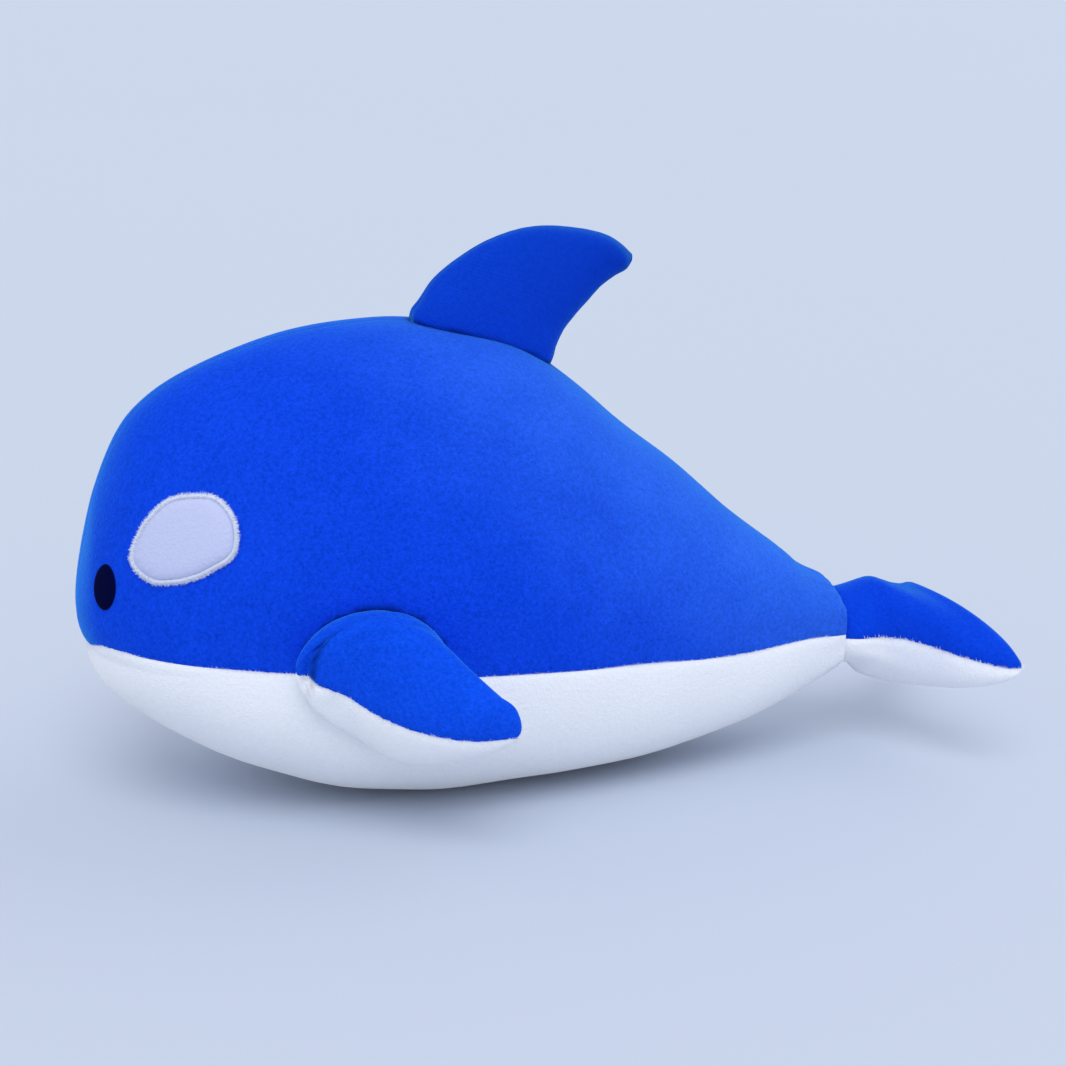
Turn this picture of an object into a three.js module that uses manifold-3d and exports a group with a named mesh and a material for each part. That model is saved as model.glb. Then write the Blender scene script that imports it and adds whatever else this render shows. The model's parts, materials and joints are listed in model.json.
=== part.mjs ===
// A stuffed toy whale, built the way it is sewn: velour covers cut as panels, fibre filling inside each cover,
// a padded patch with a satin-stitched border behind each eye, and dark pointed eyes. The nose points to -X,
// the tail to +X, the back to +Z and the left side to -Y. The flippers, the dorsal fin and the tail each have
// a rounded root that sits in a dimple of the body and bends there.

import * as THREE from 'three';
import { mergeVertices } from 'three/addons/utils/BufferGeometryUtils.js';
import Module from 'manifold-3d';

const wasm = await Module();
wasm.setup();

// Driving dimensions, in millimetres.

// Covers and gaps.
const coverThickness = 2;
const seamGap = 0.3;
const fillingGap = 0.3;
const dimpleGap = 0.4;
const coverTuck = 5;
const tailFitGap = 0.9;
const trimGap = 0.3;
const cutOverrun = 20;

// Body.
const bodyLength = 385;
const bodyWidth = 200;
const noseHeight = 80;
const ridgeRise = 153;
const restingCut = 0.5;
const browReach = 4.5;
const browRise = 22;

// Dorsal fin, placed by where its root starts and ends along the ridge of the back.
const finRootStart = 161;
const finRootEnd = 237;
const finRootThickness = 30;
const finRootLift = 5;
const finReach = 66;

// Flippers, placed by the middle of the root on the side of the body.
const flipperRootPlace = 128;
const flipperRootHeight = 86;
const flipperRootLength = 70;
const flipperRootThickness = 56;
const flipperRootLift = 9;
const flipperReach = 45;
const flipperDroop = 5;
const flipperLeadHang = 8;
const flipperSetAngle = THREE.MathUtils.degToRad(20);

// Tail.
const tailRootLift = 9;
const tailSpread = 156;
const flukeReach = 67;
const flukeDroop = 4;

// Eye patches and eyes, placed by their middles on the side of the head.
const patchPlace = 43;
const patchHeight = 144;
const patchLength = 52;
const patchEdge = 1.4;
const patchPuff = 2.6;
const patchTilt = THREE.MathUtils.degToRad(23.4);
const borderWidth = 2.6;
const borderHeight = 2.2;
const eyePlace = 8.5;
const eyeLevel = 117.5;
const eyeWidth = 16.6;
const eyeHeight = 22;
const eyeEdge = 0.6;
const eyePuff = 1;
const eyeTilt = THREE.MathUtils.degToRad(94);

// Sizes that follow from those above.
const bellyDepth = noseHeight + restingCut;

// Counts of flat faces.
const bodyRows = 18;
const backColumns = 8;
const bellyColumns = 12;
const limbColumns = 12;
const deepRootRows = 3;
const coverRootRows = 2;
const socketSteps = 20;
const patchColumns = 20;
const patchRows = 4;
const eyeColumns = 12;
const eyeRows = 2;

// Shape of the body at stations along it. Each row has the share of the length, then shares of the ridge rise,
// the belly depth and the half width, and of the nose height for the waist seam.
const bodyStationShares = [
  [0, 0, 0, 0, 1],
  [0.02, 0.477, 0.27, 0.42, 1.08],
  [0.07, 0.729, 0.44, 0.66, 1.085],
  [0.16, 0.874, 0.693, 0.84, 1.055],
  [0.28, 0.969, 0.907, 0.96, 1.025],
  [0.42, 1, 1, 1, 0.98],
  [0.56, 0.918, 0.98, 0.93, 0.94],
  [0.7, 0.641, 0.941, 0.76, 0.887],
  [0.84, 0.341, 0.804, 0.54, 0.82],
  [0.94, 0.137, 0.63, 0.37, 0.822],
  [1, 0.019, 0.49, 0.27, 0.794],
];
const RIDGE = 1;
const DEPTH = 2;
const WIDTH = 3;
const SEAM = 4;
const widestLiftShare = 0.4;
const bellySquareness = 2.7;

// Rows of a limb from its root to its tip. Each row has the places of the leading edge and of the trailing edge,
// each as a share of the half root length and of the reach, then a share of the half root thickness.
const finRowShares = [
  [-0.84, 0.08, 0.93, 0.07, 0.99],
  [-0.71, 0.28, 0.95, 0.2, 0.94],
  [-0.52, 0.5, 1, 0.34, 0.85],
  [-0.27, 0.7, 1.08, 0.48, 0.76],
  [0.08, 0.88, 1.16, 0.61, 0.63],
  [0.5, 0.97, 1.25, 0.72, 0.54],
  [0.88, 1, 1.34, 0.82, 0.41],
  [1.28, 0.96, 1.28, 0.96, 0],
];
const flipperRowShares = [
  [-0.46, 0.18, 1.09, 0.17, 0.94],
  [-0.08, 0.42, 1.21, 0.36, 0.86],
  [0.35, 0.69, 1.36, 0.53, 0.75],
  [0.73, 0.87, 1.52, 0.69, 0.63],
  [1.12, 0.98, 1.66, 0.8, 0.47],
  [1.6, 0.93, 1.6, 0.93, 0],
];

// Rows of the tail. Each row has the share of the fluke reach at the middle, the same at the side edge, the
// share of the half spread that the side edge stands out, and a share of the half root thickness.
const tailRowShares = [
  [0.09, 0.13, 0.35, 1],
  [0.2, 0.27, 0.47, 1.1],
  [0.3, 0.43, 0.66, 1.15],
  [0.41, 0.57, 0.84, 1.12],
  [0.52, 0.74, 0.97, 1.02],
  [0.62, 0.92, 1, 0.8],
  [0.68, 1, 0.95, 0],
];
const notchSoftnessShare = 0.3;
const flukeFullness = 0.6;

// The inside of a cover ends short of a limb's tip by this many cover thicknesses.
const tipInsetShare = 2;

// Outline of an eye patch as distances from its middle in shares of its half length, at even turns from the
// rear end over the top.
const patchOutlineShares = [0.99, 0.94, 0.77, 0.72, 0.69, 0.77, 0.98, 0.85, 0.67, 0.63, 0.7, 0.95];
const eyePointedness = 1.6;

const materials = {
  blueVelour: new THREE.MeshStandardMaterial({ color: 0x0a46dc, roughness: 0.95, metalness: 0 }),
  whiteVelour: new THREE.MeshStandardMaterial({ color: 0xe4e9f7, roughness: 0.95, metalness: 0 }),
  patchVelour: new THREE.MeshStandardMaterial({ color: 0xdfe4f6, roughness: 0.95, metalness: 0 }),
  stitchThread: new THREE.MeshStandardMaterial({ color: 0xeef1fb, roughness: 0.6, metalness: 0 }),
  eyeFelt: new THREE.MeshStandardMaterial({ color: 0x060a1e, roughness: 0.8, metalness: 0 }),
  fibreFilling: new THREE.MeshStandardMaterial({ color: 0xf4f4f0, roughness: 1, metalness: 0 }),
};

// Smooth curves through the stations of the body.

function curveThrough(table, column, share, shaped) {
  const last = table.length - 1;
  const value = (row) => shaped(table[row][column]);
  const slope = (row) => {
    const before = Math.max(row - 1, 0);
    const after = Math.min(row + 1, last);
    return (value(after) - value(before)) / (table[after][0] - table[before][0]);
  };
  let row = 0;
  while (row < last - 1 && table[row + 1][0] <= share) {
    row += 1;
  }
  const span = table[row + 1][0] - table[row][0];
  const t = (share - table[row][0]) / span;
  const startWeight = (1 + 2 * t) * (1 - t) ** 2;
  const endWeight = t * t * (3 - 2 * t);
  const startSlope = t * (1 - t) ** 2 * span * slope(row);
  const endSlope = t * t * (t - 1) * span * slope(row + 1);
  return startWeight * value(row) + endWeight * value(row + 1) + startSlope + endSlope;
}

// A blunt end grows as a square root does, so the curve goes through the squares of the shares.
function bluntShare(column, share) {
  return Math.sqrt(Math.max(curveThrough(bodyStationShares, column, share, (value) => value * value), 0));
}

function sectionAt(x) {
  const share = x / bodyLength;
  const rise = ridgeRise * bluntShare(RIDGE, share);
  const depth = bellyDepth * bluntShare(DEPTH, share);
  const widestHeight = noseHeight + widestLiftShare * (rise - depth) / 2;
  return {
    halfWidth: bodyWidth / 2 * bluntShare(WIDTH, share),
    widestHeight,
    up: noseHeight + rise - widestHeight,
    down: widestHeight - noseHeight + depth,
    seamHeight: noseHeight * curveThrough(bodyStationShares, SEAM, share, (value) => value),
  };
}

// The brow bulges forward over the nose seam.
function browShift(x, z) {
  const level = Math.max(z - noseHeight, 0) / browRise;
  return browReach * level * Math.exp(1 - level) * Math.max(1 - x / bodyLength, 0) ** 4;
}

// A point of the body's surface. The turn is 0 on the ridge, a quarter turn on the side, a half turn below.
function bodyPoint(x, turn, side) {
  const section = sectionAt(x);
  const across = Math.sin(turn);
  const along = Math.cos(turn);
  const power = bellySquareness;
  const reach = along < 0 ? (Math.abs(along) ** power + Math.abs(across) ** power) ** (-1 / power) : 1;
  const height = along < 0 ? section.down : section.up;
  const z = section.widestHeight + height * along * reach;
  return new THREE.Vector3(x - browShift(x, z), side * section.halfWidth * across * reach, z);
}

function seamTurn(x) {
  const section = sectionAt(x);
  const rise = section.seamHeight - section.widestHeight;
  if (x === 0) {
    return Math.PI / 2;
  }
  if (rise >= 0) {
    return Math.acos(Math.min(rise / section.up, 1));
  }
  const share = Math.min(-rise / section.down, 1) ** bellySquareness;
  return Math.PI - Math.atan(((1 - share) / share) ** (1 / bellySquareness));
}

// How far out of the body a point is: below zero inside, zero on the surface.
function outsideBody(point) {
  let x = point.x;
  for (let pass = 0; pass < 3; pass += 1) {
    x = point.x + browShift(x, point.z);
  }
  if (x <= 0) {
    return 1;
  }
  const section = sectionAt(x);
  const power = point.z < section.widestHeight ? bellySquareness : 2;
  const height = point.z < section.widestHeight ? section.down : section.up;
  const widthShare = Math.abs(point.y) / section.halfWidth;
  const heightShare = Math.abs(point.z - section.widestHeight) / height;
  return widthShare ** power + heightShare ** power - 1;
}

function ridgeHeight(x) {
  return noseHeight + ridgeRise * bluntShare(RIDGE, x / bodyLength);
}

// Moves a point along a direction until it lies on the body.
function ontoBody(point, direction, search) {
  let inside = point.clone().addScaledVector(direction, -search);
  let outside = point.clone().addScaledVector(direction, search);
  for (let pass = 0; pass < 40; pass += 1) {
    const middle = inside.clone().lerp(outside, 0.5);
    if (outsideBody(middle) > 0) {
      outside = middle;
    } else {
      inside = middle;
    }
  }
  return inside;
}

function sidePoint(x, z, side) {
  return ontoBody(new THREE.Vector3(x, side * bodyWidth / 4, z), new THREE.Vector3(0, side, 0), bodyWidth / 2);
}

// Closed solids out of grids of points, a grid being rows of points that run round the form.

function volumeOf(points, faces) {
  return faces.reduce((sum, [a, b, c]) => {
    return sum + points[a].dot(new THREE.Vector3().crossVectors(points[b], points[c])) / 6;
  }, 0);
}

// Faces point out, points that coincide are joined, and faces without area are left out.
function solidFrom(points, faces) {
  const outward = volumeOf(points, faces) < 0 ? faces.map(([a, b, c]) => [a, c, b]) : faces;
  const loose = new THREE.BufferGeometry();
  loose.setAttribute('position', new THREE.Float32BufferAttribute(points.flatMap((p) => [p.x, p.y, p.z]), 3));
  loose.setIndex(outward.flat());
  const merged = mergeVertices(loose, coverThickness / 1e4);
  const kept = [];
  for (let i = 0; i < merged.index.count; i += 3) {
    const [a, b, c] = [merged.index.getX(i), merged.index.getX(i + 1), merged.index.getX(i + 2)];
    if (a !== b && b !== c && c !== a) {
      kept.push(a, b, c);
    }
  }
  merged.setIndex(kept);
  merged.computeVertexNormals();
  return merged;
}

function middleOf(points) {
  return points.reduce((sum, point) => sum.addScaledVector(point, 1 / points.length), new THREE.Vector3());
}

// Tells for each four-cornered face of a form which diagonal lies farther out. All layers of a cover and its
// filling are split alike, so they keep their distance.
function splitsOf(grid) {
  return grid.slice(0, -1).map((line, row) => {
    const nextLine = grid[row + 1];
    const core = middleOf([...line, ...nextLine]);
    return line.map((corner, column) => {
      const next = (column + 1) % line.length;
      const one = middleOf([corner, nextLine[next]]);
      const other = middleOf([line[next], nextLine[column]]);
      return one.distanceTo(core) > other.distanceTo(core);
    });
  });
}

function faceGrid(rows, columns, place, split) {
  const faces = [];
  for (let row = 0; row < rows - 1; row += 1) {
    for (let column = 0; column < columns - 1; column += 1) {
      const a = place(row, column);
      const b = place(row, column + 1);
      const c = place(row + 1, column + 1);
      const d = place(row + 1, column);
      faces.push(...(split(row, column) ? [[a, b, c], [a, c, d]] : [[a, b, d], [b, c, d]]));
    }
  }
  return faces;
}

// The side of a form whose rows close on themselves.
function sideFaces(grid, splits) {
  const columns = grid[0].length;
  const place = (row, column) => row * columns + column % columns;
  return faceGrid(grid.length, columns + 1, place, (row, column) => splits[row][column]);
}

// A form with a fan of faces over each end row.
function closedForm(grid, splits) {
  const rows = grid.length;
  const columns = grid[0].length;
  const points = grid.flat();
  const faces = sideFaces(grid, splits);
  for (const row of [0, rows - 1]) {
    points.push(middleOf(grid[row]));
    for (let column = 0; column < columns; column += 1) {
      const start = row * columns + column;
      const end = row * columns + (column + 1) % columns;
      faces.push(row === 0 ? [points.length - 1, end, start] : [points.length - 1, start, end]);
    }
  }
  return solidFrom(points, faces);
}

// A shell between an outer and an inner layer of the same size.
function shellSolid(outer, inner, split) {
  const rows = outer.length;
  const columns = outer[0].length;
  const count = rows * columns;
  const points = [...outer.flat(), ...inner.flat()];
  const layer = faceGrid(rows, columns, (row, column) => row * columns + column, split);
  const faces = [...layer, ...layer.map(([a, b, c]) => [count + a, count + c, count + b])];
  const border = [];
  for (let column = 0; column < columns - 1; column += 1) {
    border.push(column);
  }
  for (let row = 0; row < rows - 1; row += 1) {
    border.push(row * columns + columns - 1);
  }
  for (let column = columns - 1; column > 0; column -= 1) {
    border.push((rows - 1) * columns + column);
  }
  for (let row = rows - 1; row > 0; row -= 1) {
    border.push(row * columns);
  }
  border.forEach((start, index) => {
    const end = border[(index + 1) % border.length];
    const across = points[start].distanceTo(points[count + end]);
    if (across < points[end].distanceTo(points[count + start])) {
      faces.push([end, start, count + end], [start, count + start, count + end]);
    } else {
      faces.push([end, start, count + start], [end, count + start, count + end]);
    }
  });
  return solidFrom(points, faces);
}

// The grid moved inward along its normals. Points that coincide move together.
function insetLayer(grid, inset) {
  const points = grid.flat();
  const faces = sideFaces(grid, splitsOf(grid));
  const inward = -Math.sign(volumeOf(points, faces));
  const key = (point) => point.toArray().map((value) => Math.round(value / coverThickness * 1e4)).join();
  const normals = new Map();
  faces.forEach(([a, b, c]) => {
    const ab = new THREE.Vector3().subVectors(points[b], points[a]);
    const ac = new THREE.Vector3().subVectors(points[c], points[a]);
    const normal = ab.cross(ac).multiplyScalar(inward);
    for (const corner of [a, b, c]) {
      const sum = normals.get(key(points[corner])) ?? new THREE.Vector3();
      normals.set(key(points[corner]), sum.add(normal));
    }
  });
  return grid.map((row) => row.map((point) => {
    return point.clone().addScaledVector(normals.get(key(point)).clone().normalize(), inset);
  }));
}

// Some rows and columns of a layer. Its edges are moved a little, to leave a gap at each seam, and an end row
// that is a point or a line goes to one side as a whole.
function sewingPiece(layer, rows, columns, nudges) {
  const count = layer[0].length;
  const piece = [];
  for (let row = rows[0]; row <= rows[1]; row += 1) {
    const line = [];
    for (let column = columns[0]; column <= columns[1]; column += 1) {
      line.push(layer[row][column % count].clone());
    }
    line[0].add(nudges.first);
    line[line.length - 1].add(nudges.last);
    piece.push(line);
  }
  const nudgeRow = (row, nudge) => row.forEach((point, column) => {
    point.copy(layer[piece[0] === row ? rows[0] : rows[1]][(columns[0] + column) % count]).add(nudge);
  });
  if (nudges.start) {
    nudgeRow(piece[0], nudges.start);
  }
  if (nudges.end) {
    nudgeRow(piece[piece.length - 1], nudges.end);
  }
  return piece;
}

function coverPanel(outer, inner, rows, columns, nudges) {
  const splits = splitsOf(outer);
  const split = (row, column) => splits[rows[0] + row][(columns[0] + column) % outer[0].length];
  const layers = [outer, inner].map((layer) => sewingPiece(layer, rows, columns, nudges));
  return shellSolid(...layers, split);
}

// Boolean cuts.

function toManifold(geometry) {
  const bare = geometry.clone();
  bare.deleteAttribute('normal');
  bare.deleteAttribute('uv');
  const merged = mergeVertices(bare, coverThickness / 1e4);
  const mesh = new wasm.Mesh({
    numProp: 3,
    vertProperties: new Float32Array(merged.attributes.position.array),
    triVerts: new Uint32Array(merged.index.array),
  });
  return new wasm.Manifold(mesh);
}

function cut(geometry, cutters) {
  let solid = toManifold(geometry);
  for (const cutter of cutters) {
    solid = solid.subtract(toManifold(cutter));
  }
  const mesh = solid.getMesh();
  const result = new THREE.BufferGeometry();
  result.setAttribute('position', new THREE.Float32BufferAttribute(mesh.vertProperties, 3));
  result.setIndex([...mesh.triVerts]);
  result.computeVertexNormals();
  return result;
}

// Limbs. In a limb's own frame the hinge axis goes through the origin and the root lies on the inner side.

// A rounded root is half an egg, turned about the hinge axis, so it turns in its dimple without rubbing.
function rootShape(length, thickness, lift) {
  const halfThickness = Math.hypot(thickness / 2, lift);
  return { halfThickness, halfLength: length / thickness * halfThickness, lift };
}

// Turns of the root's rows from its pole to the hinge axis. The cover starts a little inside the body.
function rootTurns(root) {
  const pole = Math.PI / 2;
  const coverStart = Math.asin((root.lift + coverTuck) / root.halfThickness);
  const deep = Array.from({ length: deepRootRows }, (_, row) => pole + (coverStart - pole) * row / deepRootRows);
  const covered = Array.from({ length: coverRootRows }, (_, row) => coverStart * (1 - row / coverRootRows));
  return [...deep, ...covered, 0];
}

function ring(pointAt) {
  return Array.from({ length: limbColumns }, (_, column) => pointAt(column / limbColumns * 2 * Math.PI));
}

// Rows of the root with X along the hinge axis, Y through the thickness and Z outward, at a depth below the skin.
function rootRings(root, inset) {
  return rootTurns(root).map((rootTurn) => ring((turn) => new THREE.Vector3(
    (root.halfLength - inset) * Math.cos(rootTurn) * Math.cos(turn),
    (root.halfThickness - inset) * Math.cos(rootTurn) * Math.sin(turn),
    -(root.halfThickness - inset) * Math.sin(rootTurn),
  )));
}

// A flat limb: the fin or a flipper. It droops toward its tip, and its leading edge hangs in the middle.
function flatLimbLayer(root, reach, droop, leadHang, rowShares, inset) {
  const insideReach = reach - tipInsetShare * inset;
  const rings = rowShares.map(([leadAlong, leadOut, trailAlong, trailOut, thickness]) => {
    const middle = root.halfLength * (leadAlong + trailAlong) / 2;
    const half = Math.max(root.halfLength * (trailAlong - leadAlong) / 2 - inset, 0);
    const rise = Math.max(root.halfThickness * thickness - inset, 0);
    return ring((turn) => {
      const out = THREE.MathUtils.lerp(leadOut, trailOut, (1 + Math.cos(turn)) / 2);
      const hang = leadHang * Math.sin(Math.PI * out) * (1 - Math.cos(turn)) / 2;
      return new THREE.Vector3(
        middle + half * Math.cos(turn),
        rise * Math.sin(turn) - droop * out * out - hang,
        insideReach * out,
      );
    });
  });
  return [...rootRings(root, inset), ...rings];
}

function notchedShare(share) {
  const soft = (value) => Math.hypot(value, notchSoftnessShare) - notchSoftnessShare;
  return soft(Math.abs(share)) / soft(1);
}

// The tail, with X backward, Y across along the hinge axis and Z up.
function tailLayer(root, inset) {
  const insideReach = flukeReach - tipInsetShare * inset;
  const rings = tailRowShares.map(([middle, side, spread, thickness]) => {
    const halfSpread = tailSpread / 2 * spread - inset;
    const rise = Math.max(root.halfThickness * thickness - inset, 0);
    const fullness = THREE.MathUtils.lerp(1, flukeFullness, Math.min((spread - tailRowShares[0][2]) * 2, 1));
    return ring((turn) => {
      const y = halfSpread * Math.cos(turn);
      const sag = flukeDroop * (2 * y / tailSpread) ** 2;
      const back = THREE.MathUtils.lerp(middle, side, notchedShare(Math.cos(turn)));
      const puff = Math.sign(Math.sin(turn)) * Math.abs(Math.sin(turn)) ** fullness;
      return new THREE.Vector3(insideReach * back, y, rise * puff - sag);
    });
  });
  const turned = rootRings(root, inset).map((line) => line.map(({ x, y, z }) => new THREE.Vector3(z, x, y)));
  return [...turned, ...rings];
}

// The dimple that a root sits in, wide enough for the root's corners as it turns.
function dimple(root) {
  const corner = Math.cos(Math.PI / socketSteps);
  const radius = (root.halfThickness + dimpleGap) / corner;
  const halfLength = (root.halfLength + dimpleGap) / corner;
  const half = socketSteps / 2;
  const profile = Array.from({ length: half + 1 }, (_, step) => {
    const turn = step / half * Math.PI;
    return new THREE.Vector2(radius * Math.sin(turn), -halfLength * Math.cos(turn));
  });
  profile[0].x = 0;
  profile[half].x = 0;
  return new THREE.LatheGeometry(profile, socketSteps).rotateZ(Math.PI / 2);
}

// Body.

const bodyColumns = 2 * backColumns + bellyColumns;

// One row of the body: the right back panel from the ridge to its waist seam, the belly, the left back panel.
function bodyRow(x) {
  const waist = seamTurn(x);
  const row = [];
  for (let column = 0; column < bodyColumns; column += 1) {
    if (column <= backColumns) {
      row.push(bodyPoint(x, waist * column / backColumns, 1));
    } else if (column < backColumns + bellyColumns) {
      const turn = waist + (2 * Math.PI - 2 * waist) * (column - backColumns) / bellyColumns;
      row.push(bodyPoint(x, turn, 1));
    } else {
      row.push(bodyPoint(x, waist * (bodyColumns - column) / backColumns, -1));
    }
  }
  return row;
}

const bodyGrid = Array.from({ length: bodyRows + 1 }, (_, row) => bodyRow(bodyLength * (row / bodyRows) ** 2));

const finRoot = (() => {
  const start = new THREE.Vector3(finRootStart, 0, ridgeHeight(finRootStart));
  const end = new THREE.Vector3(finRootEnd, 0, ridgeHeight(finRootEnd));
  const slope = Math.atan2(start.z - end.z, end.x - start.x);
  const out = new THREE.Vector3(Math.sin(slope), 0, Math.cos(slope));
  const middle = start.clone().lerp(end, 0.5).addScaledVector(out, finRootLift);
  return { ...rootShape(start.distanceTo(end), finRootThickness, finRootLift), middle, slope };
})();

const flipperRoot = rootShape(flipperRootLength, flipperRootThickness, flipperRootLift);

function flipperHinge(side) {
  const seat = sidePoint(flipperRootPlace, flipperRootHeight, side);
  return seat.add(new THREE.Vector3(0, side * flipperRootLift, 0));
}

const tailRoot = (() => {
  const section = sectionAt(bodyLength);
  const top = noseHeight + ridgeRise * bluntShare(RIDGE, 1);
  const bottom = noseHeight - bellyDepth * bluntShare(DEPTH, 1);
  const rootThickness = top - bottom - 2 * (coverThickness + tailFitGap);
  const rootLength = 2 * (section.halfWidth - coverThickness - tailFitGap);
  const middle = new THREE.Vector3(bodyLength + tailRootLift, 0, (top + bottom) / 2);
  return { ...rootShape(rootLength, rootThickness, tailRootLift), middle };
})();

// Nested groups that place each limb, and the same turns for the dimples.
function finFrame() {
  const frame = new THREE.Group();
  frame.position.copy(finRoot.middle);
  frame.rotation.y = finRoot.slope;
  return frame;
}

// The set angle holds the flipper a little below level; its length runs along the body.
function flipperFrame(side) {
  const frame = new THREE.Group();
  frame.position.copy(flipperHinge(side));
  frame.rotation.x = -side * (Math.PI / 2 + flipperSetAngle);
  return frame;
}

function tailFrame() {
  const frame = new THREE.Group();
  frame.position.copy(tailRoot.middle);
  return frame;
}

function placed(geometry, frame) {
  frame.updateMatrixWorld(true);
  return geometry.clone().applyMatrix4(frame.matrixWorld);
}

const finDimple = placed(dimple(finRoot), finFrame());
const tailDimple = placed(dimple(tailRoot).rotateZ(Math.PI / 2), tailFrame());

function flipperDimple(side) {
  return placed(dimple(flipperRoot), flipperFrame(side));
}

function meshOf(name, geometry, material) {
  const mesh = new THREE.Mesh(geometry, material);
  mesh.name = name;
  return mesh;
}

const bodyInside = insetLayer(bodyGrid, coverThickness);

function backPanel(side) {
  const half = seamGap / 2;
  const ridge = new THREE.Vector3(0, side * half, 0);
  const waist = new THREE.Vector3(0, 0, half);
  const start = new THREE.Vector3(0, side * half, half);
  const columns = side > 0 ? [0, backColumns] : [backColumns + bellyColumns, bodyColumns];
  const nudges = side > 0 ? { first: ridge, last: waist, start } : { first: waist, last: ridge, start };
  const panel = coverPanel(bodyGrid, bodyInside, [0, bodyRows], columns, nudges);
  return cut(panel, [finDimple, flipperDimple(side)]);
}

function bellyPanel() {
  const down = new THREE.Vector3(0, 0, -seamGap / 2);
  const columns = [backColumns, backColumns + bellyColumns];
  const panel = coverPanel(bodyGrid, bodyInside, [0, bodyRows], columns, { first: down, last: down, start: down });
  const floor = new THREE.BoxGeometry(bodyLength + cutOverrun, bodyWidth + cutOverrun, cutOverrun);
  floor.translate(bodyLength / 2, 0, -cutOverrun / 2);
  return cut(panel, [flipperDimple(1), flipperDimple(-1), floor]);
}

// The filling has every second column of the cover's inside, and each column beside the waist seams.
function bodyFilling() {
  const fine = insetLayer(bodyGrid, coverThickness + fillingGap);
  const besideSeam = (column) => Math.abs(Math.abs(column - bodyColumns / 2) - bellyColumns / 2) <= 1;
  const coarse = fine.map((line) => line.filter((_, column) => column % 2 === 0 || besideSeam(column)));
  return cut(closedForm(coarse, splitsOf(coarse)), [finDimple, flipperDimple(1), flipperDimple(-1), tailDimple]);
}

function bodyGroup() {
  const group = new THREE.Group();
  group.add(
    meshOf('back_left_panel', backPanel(-1), materials.blueVelour),
    meshOf('back_right_panel', backPanel(1), materials.blueVelour),
    meshOf('belly_panel', bellyPanel(), materials.whiteVelour),
    meshOf('body_filling', bodyFilling(), materials.fibreFilling),
  );
  return group;
}

// A limb's two cover panels meet at the seam round its edge. Its filling ends in the rounded root.
function limbMeshes(layerAt, names, panelMaterials, thicknessAxis) {
  const outer = layerAt(0);
  const inner = layerAt(coverThickness);
  const rows = [deepRootRows, outer.length - 1];
  const half = limbColumns / 2;
  const nudge = thicknessAxis.clone().multiplyScalar(seamGap / 2);
  const away = nudge.clone().negate();
  const near = coverPanel(outer, inner, rows, [0, half], { first: nudge, last: nudge, end: nudge });
  const far = coverPanel(outer, inner, rows, [half, limbColumns], { first: away, last: away, end: away });
  const filling = closedForm(layerAt(coverThickness + fillingGap), splitsOf(outer));
  return [
    meshOf(names[0], near, panelMaterials[0]),
    meshOf(names[1], far, panelMaterials[1]),
    meshOf(names[2], filling, materials.fibreFilling),
  ];
}

function finGroup() {
  const frame = finFrame();
  frame.add(...limbMeshes(
    (inset) => flatLimbLayer(finRoot, finReach, 0, 0, finRowShares, inset),
    ['dorsal_fin_right_panel', 'dorsal_fin_left_panel', 'dorsal_fin_filling'],
    [materials.blueVelour, materials.blueVelour],
    new THREE.Vector3(0, 1, 0),
  ));
  return frame;
}

// The frame of the right flipper has Y down, that of the left has Y up.
function flipperGroup(side) {
  const frame = flipperFrame(side);
  const name = side > 0 ? 'flipper_right' : 'flipper_left';
  const layerAt = (inset) => {
    const hangs = [flipperDroop, flipperLeadHang];
    const layer = flatLimbLayer(flipperRoot, flipperReach, ...hangs, flipperRowShares, inset);
    return layer.map((line) => line.map(({ x, y, z }) => new THREE.Vector3(x, -side * y, z)));
  };
  frame.add(...limbMeshes(
    layerAt,
    [`${name}_upper_panel`, `${name}_lower_panel`, `${name}_filling`],
    [materials.blueVelour, materials.whiteVelour],
    new THREE.Vector3(0, -side, 0),
  ));
  return frame;
}

function tailGroup() {
  const frame = tailFrame();
  frame.add(...limbMeshes(
    (inset) => tailLayer(tailRoot, inset),
    ['tail_upper_panel', 'tail_lower_panel', 'tail_filling'],
    [materials.blueVelour, materials.whiteVelour],
    new THREE.Vector3(0, 0, 1),
  ));
  return frame;
}

// Trim that lies on the head. A seat is a place on the skin with the directions rearward, upward and outward.
function seatAt(x, z, tilt, side) {
  const middle = sidePoint(x, z, side);
  const step = coverThickness;
  const grade = (axis) => {
    return outsideBody(middle.clone().addScaledVector(axis, step))
      - outsideBody(middle.clone().addScaledVector(axis, -step));
  };
  const axes = [new THREE.Vector3(1, 0, 0), new THREE.Vector3(0, 1, 0), new THREE.Vector3(0, 0, 1)];
  const outward = new THREE.Vector3(...axes.map(grade)).normalize();
  const level = new THREE.Vector3(Math.abs(outward.y), -side * outward.x * Math.sign(outward.y) * side, 0);
  level.y = -outward.x * level.x / outward.y;
  level.normalize();
  const upward = new THREE.Vector3().crossVectors(outward, level).multiplyScalar(side).negate();
  const rearward = level.clone().multiplyScalar(Math.cos(tilt)).addScaledVector(upward, Math.sin(tilt));
  const across = upward.clone().multiplyScalar(Math.cos(tilt)).addScaledVector(level, -Math.sin(tilt));
  return { middle, outward, rearward, across };
}

// A point over the skin, given in the plane of the seat and by its height over the skin.
function overSkin(seat, along, across, height) {
  const flat = seat.middle.clone().addScaledVector(seat.rearward, along).addScaledVector(seat.across, across);
  return ontoBody(flat, seat.outward, patchLength).addScaledVector(seat.outward, height);
}

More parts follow.
